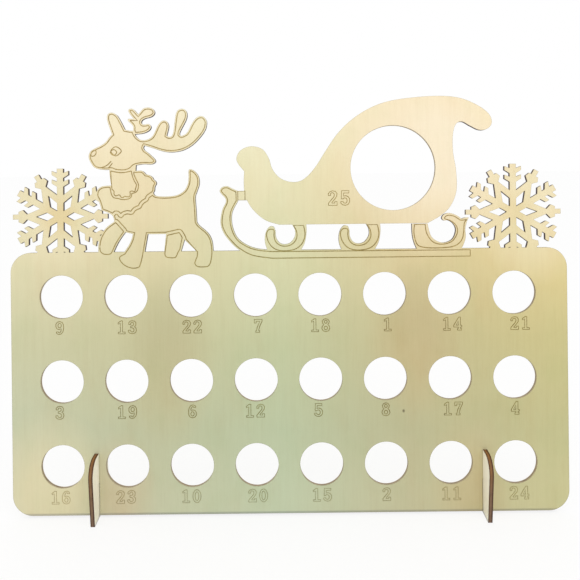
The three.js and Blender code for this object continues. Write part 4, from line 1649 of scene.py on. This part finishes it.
@dataclass(frozen=True)
class Studio:
    """The white table, the lamps and the camera."""

    eye: Place = (0.0, -0.4722, 0.2737)
    pitch: float = 8.0
    roll: float = 0.63
    sensor: float = 36.0
    focal_pixels: float = 704.4
    image_pixels: float = 580.0
    principal: Point = (288.2, 217.0)
    lamps: tuple[Lamp, ...] = (
        Lamp("front_softbox", (-0.2, -1.3, 1.1), (0.0, 0.0, 0.15), 0.9, 0.7),
        Lamp("top_softbox", (0.12, -0.32, 0.74), (0.0, 0.0, 0.25), 0.5, 0.6, (255, 248, 236)),
    )
    ambient: float = 0.922
    table_size: float = 6.0
    table_roughness: float = 0.6
    table_glow: float = 0.8

    def set_camera(self) -> None:
        """Place the camera square to the panel, slightly rolled, its frame dropped."""
        bpy.ops.object.camera_add()
        camera = bpy.context.active_object
        camera.name = "camera"
        camera.data.sensor_width = self.sensor
        camera.data.lens = self.focal_pixels / self.image_pixels * self.sensor
        half = self.image_pixels / 2
        camera.data.shift_x = (half - self.principal[0]) / self.image_pixels
        camera.data.shift_y = (self.principal[1] - half) / self.image_pixels
        turn = Matrix.Rotation(math.radians(90.0 - self.pitch), 4, "X")
        roll = Matrix.Rotation(math.radians(-self.roll), 4, "Z")
        camera.matrix_world = Matrix.Translation(self.eye) @ turn @ roll
        bpy.context.scene.camera = camera

    def lay_floor(self) -> None:
        """Lay the pale table, white to the camera where nothing shades it."""
        bpy.ops.object.select_all(action="DESELECT")
        bpy.ops.mesh.primitive_plane_add(size=self.table_size)
        floor = bpy.context.active_object
        floor.name = "table_top"
        recipe = Recipe("white_table")
        recipe.shader.inputs["Base Color"].default_value = linear(WHITE)
        recipe.shader.inputs["Roughness"].default_value = self.table_roughness
        glow = recipe.tree.nodes.new("ShaderNodeEmission")
        blend = recipe.tree.nodes.new("ShaderNodeMixShader")
        rays = recipe.tree.nodes.new("ShaderNodeLightPath")
        glow.inputs["Strength"].default_value = 1.0
        seen = recipe.math("MAXIMUM", rays.outputs["Is Camera Ray"], rays.outputs["Is Glossy Ray"])
        recipe.link(recipe.math("MULTIPLY", seen, self.table_glow), blend.inputs["Fac"])
        recipe.link(recipe.shader.outputs["BSDF"], blend.inputs[1])
        recipe.link(glow.outputs["Emission"], blend.inputs[2])
        recipe.link(blend.outputs["Shader"], recipe.output.inputs["Surface"])
        floor.data.materials.append(recipe.material)

    def fill_world(self) -> None:
        """Surround the table with soft light that looks white to the camera."""
        world = bpy.data.worlds.new("studio")
        bpy.context.scene.world = world
        world.use_nodes = True
        tree = world.node_tree
        backdrop = tree.nodes["Background"]
        backdrop.inputs["Color"].default_value = linear(WHITE)
        rays = tree.nodes.new("ShaderNodeLightPath")
        seen = tree.nodes.new("ShaderNodeMath")
        seen.operation = "MAXIMUM"
        strength = tree.nodes.new("ShaderNodeMapRange")
        strength.inputs["To Min"].default_value = self.ambient
        strength.inputs["To Max"].default_value = 1.0
        tree.links.new(rays.outputs["Is Camera Ray"], seen.inputs[0])
        tree.links.new(rays.outputs["Is Glossy Ray"], seen.inputs[1])
        tree.links.new(seen.outputs["Value"], strength.inputs["Value"])
        tree.links.new(strength.outputs["Result"], backdrop.inputs["Strength"])

    def build(self) -> None:
        """Set up everything around the calendar."""
        self.set_camera()
        self.lay_floor()
        self.fill_world()
        for lamp in self.lamps:
            lamp.hang()
        bpy.context.scene.view_settings.view_transform = "Standard"


# Calendar
PANEL_STANCE = Stance((0.0, -0.015607, 0.0015), (82.0, 0.0, 0.0))

PANEL_BANDS: tuple[Stop, ...] = (
    (0.0, (255, 252, 240)),
    (0.27, (246, 241, 222)),
    (0.5, (241, 246, 228)),
    (0.73, (243, 231, 205)),
    (1.0, (252, 239, 200)),
)
# Partly painted light and shade: the stops darken and turn greener towards the bottom and brighten
# towards the top, as the light falls down the sheet; partly a drift in the wood's own tone.
PANEL_HEIGHTS_PAINTED_LIGHT: tuple[Stop, ...] = (
    (0.0, (208, 214, 196)),
    (0.2, (199, 206, 184)),
    (0.42, (208, 209, 180)),
    (0.6, (227, 222, 193)),
    (0.8, (244, 233, 208)),
    (1.0, (255, 248, 232)),
)
PANEL_TONE = WoodTone(
    PANEL_STANCE, PANEL_BANDS, PANEL_HEIGHTS_PAINTED_LIGHT, half_width=0.1935, height=0.289,
    patches=(
        TintPatch((0.105, 0.25), (0.075, 0.075), (246, 232, 203)),
        TintPatch((0.17, 0.22), (0.045, 0.065), (239, 226, 188)),
        TintPatch((0.158, 0.208), (0.018, 0.018), (233, 216, 170)),
        TintPatch((-0.16, 0.215), (0.055, 0.05), (235, 224, 186)),
        TintPatch((-0.159, 0.208), (0.018, 0.018), (229, 211, 163)),
        TintPatch((-0.17, 0.015), (0.05, 0.06), (222, 214, 176)),
        TintPatch((-0.118, 0.015), (0.025, 0.045), (206, 196, 162)),
        TintPatch((0.125, 0.02), (0.03, 0.05), (202, 190, 148)),
        TintPatch((-0.085, 0.11), (0.035, 0.065), (194, 189, 148)),
        TintPatch((0.088, 0.12), (0.035, 0.055), (198, 184, 139)),
        TintPatch((0.0788, 0.0703), (0.0012, 0.0015), (118, 112, 84)),
    ),
)
CHARRED_PLIES: tuple[Stop, ...] = (
    (0.0, (96, 66, 56)),
    (0.3, (86, 58, 52)),
    (0.36, (54, 36, 38)),
    (0.64, (60, 42, 42)),
    (0.7, (88, 60, 54)),
    (1.0, (104, 72, 60)),
)
HOLE_PLIES: tuple[Stop, ...] = (
    (0.0, (196, 180, 144)),
    (0.3, (186, 168, 132)),
    (0.36, (138, 120, 92)),
    (0.64, (146, 128, 98)),
    (0.7, (188, 170, 134)),
    (1.0, (200, 186, 150)),
)
# Painted light: the feet's faces are a paler copy of the panel's plywood, brightened to stand for
# the strong light on their inner faces.
FOOT_BANDS_PAINTED_LIGHT: tuple[Stop, ...] = (
    (0.0, (255, 250, 234)),
    (0.5, (252, 246, 228)),
    (1.0, (255, 250, 236)),
)
FOOT_HEIGHTS_PAINTED_LIGHT: tuple[Stop, ...] = (
    (0.0, (250, 252, 252)),
    (1.0, (255, 255, 255)),
)
FOOT_PLIES: tuple[Stop, ...] = (
    (0.0, (84, 58, 42)),
    (0.22, (96, 68, 50)),
    (0.32, (150, 124, 100)),
    (0.68, (142, 116, 92)),
    (0.78, (92, 64, 48)),
    (1.0, (80, 54, 40)),
)
FOOT_RISE: tuple[Stop, ...] = (
    (0.0, (236, 232, 230)),
    (0.5, (236, 222, 206)),
    (0.8, (255, 226, 176)),
    (1.0, (255, 214, 150)),
)


@dataclass(frozen=True)
class Calendar:
    """The whole calendar: the panel and the two feet that it stands in."""

    workshop: Workshop

    def panel_finishes(self) -> Finishes:
        """The finishes of the panel's faces, walls and grooves."""
        veneer = Veneer("panel_veneer", PANEL_TONE)
        wall = CutEdge("panel_cut_edge", PANEL_STANCE, CHARRED_PLIES, (44, 28, 34), 0.4)
        groove = BurntLine("engraved_line", PANEL_TONE, (216, 207, 174), (182, 167, 130))
        hole = CutEdge("hole_cut_edge", PANEL_STANCE, HOLE_PLIES, (96, 78, 58), 0.3)
        return {
            Face.VENEER: veneer.make(), Face.WALL: wall.make(),
            Face.GROOVE: groove.make(), Face.HOLE: hole.make(),
        }

    def foot_finishes(self, foot: Foot) -> Finishes:
        """The finishes of a foot's faces and of its cut edge."""
        stance = foot.stance()
        # The foot's veneer is painted lighter than the panel's wood, as painted light.
        tone = WoodTone(stance, FOOT_BANDS_PAINTED_LIGHT, FOOT_HEIGHTS_PAINTED_LIGHT, half_width=0.03, height=0.05)
        veneer = Veneer(f"{foot.node}_veneer", tone, scorch_share=0.3)
        face = Vector((0.0, 0.0, foot.stock.thickness / 2 * MILLIMETRE))
        wall = CutEdge(
            f"{foot.node}_cut_edge", Stance(tuple(stance.matrix() @ face), stance.turn),
            FOOT_PLIES, (58, 36, 28), 0.22, FOOT_RISE, foot.height * MILLIMETRE,
        )
        return {Face.VENEER: veneer.make(), Face.WALL: wall.make()}

    def build(self) -> None:
        """Make every piece in order and report it."""
        bpy.ops.object.select_all(action="DESELECT")
        panel = CalendarPanel(self.workshop, PANEL_STANCE)
        pieces = [panel.build(self.panel_finishes())]
        for node, across in (("left_foot", -panel.foot_middle), ("right_foot", panel.foot_middle)):
            foot = Foot(self.workshop, node, across)
            pieces.append(foot.build(self.foot_finishes(foot)))
        for piece in pieces:
            LOG.info("%s: %d faces", piece.name, len(piece.data.polygons))


def main() -> None:
    """Build the studio and the calendar."""
    logging.basicConfig(level=logging.INFO, format="%(name)s: %(message)s")
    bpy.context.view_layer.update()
    Studio().build()
    Calendar(Workshop()).build()


if __name__ == "__main__":
    main()
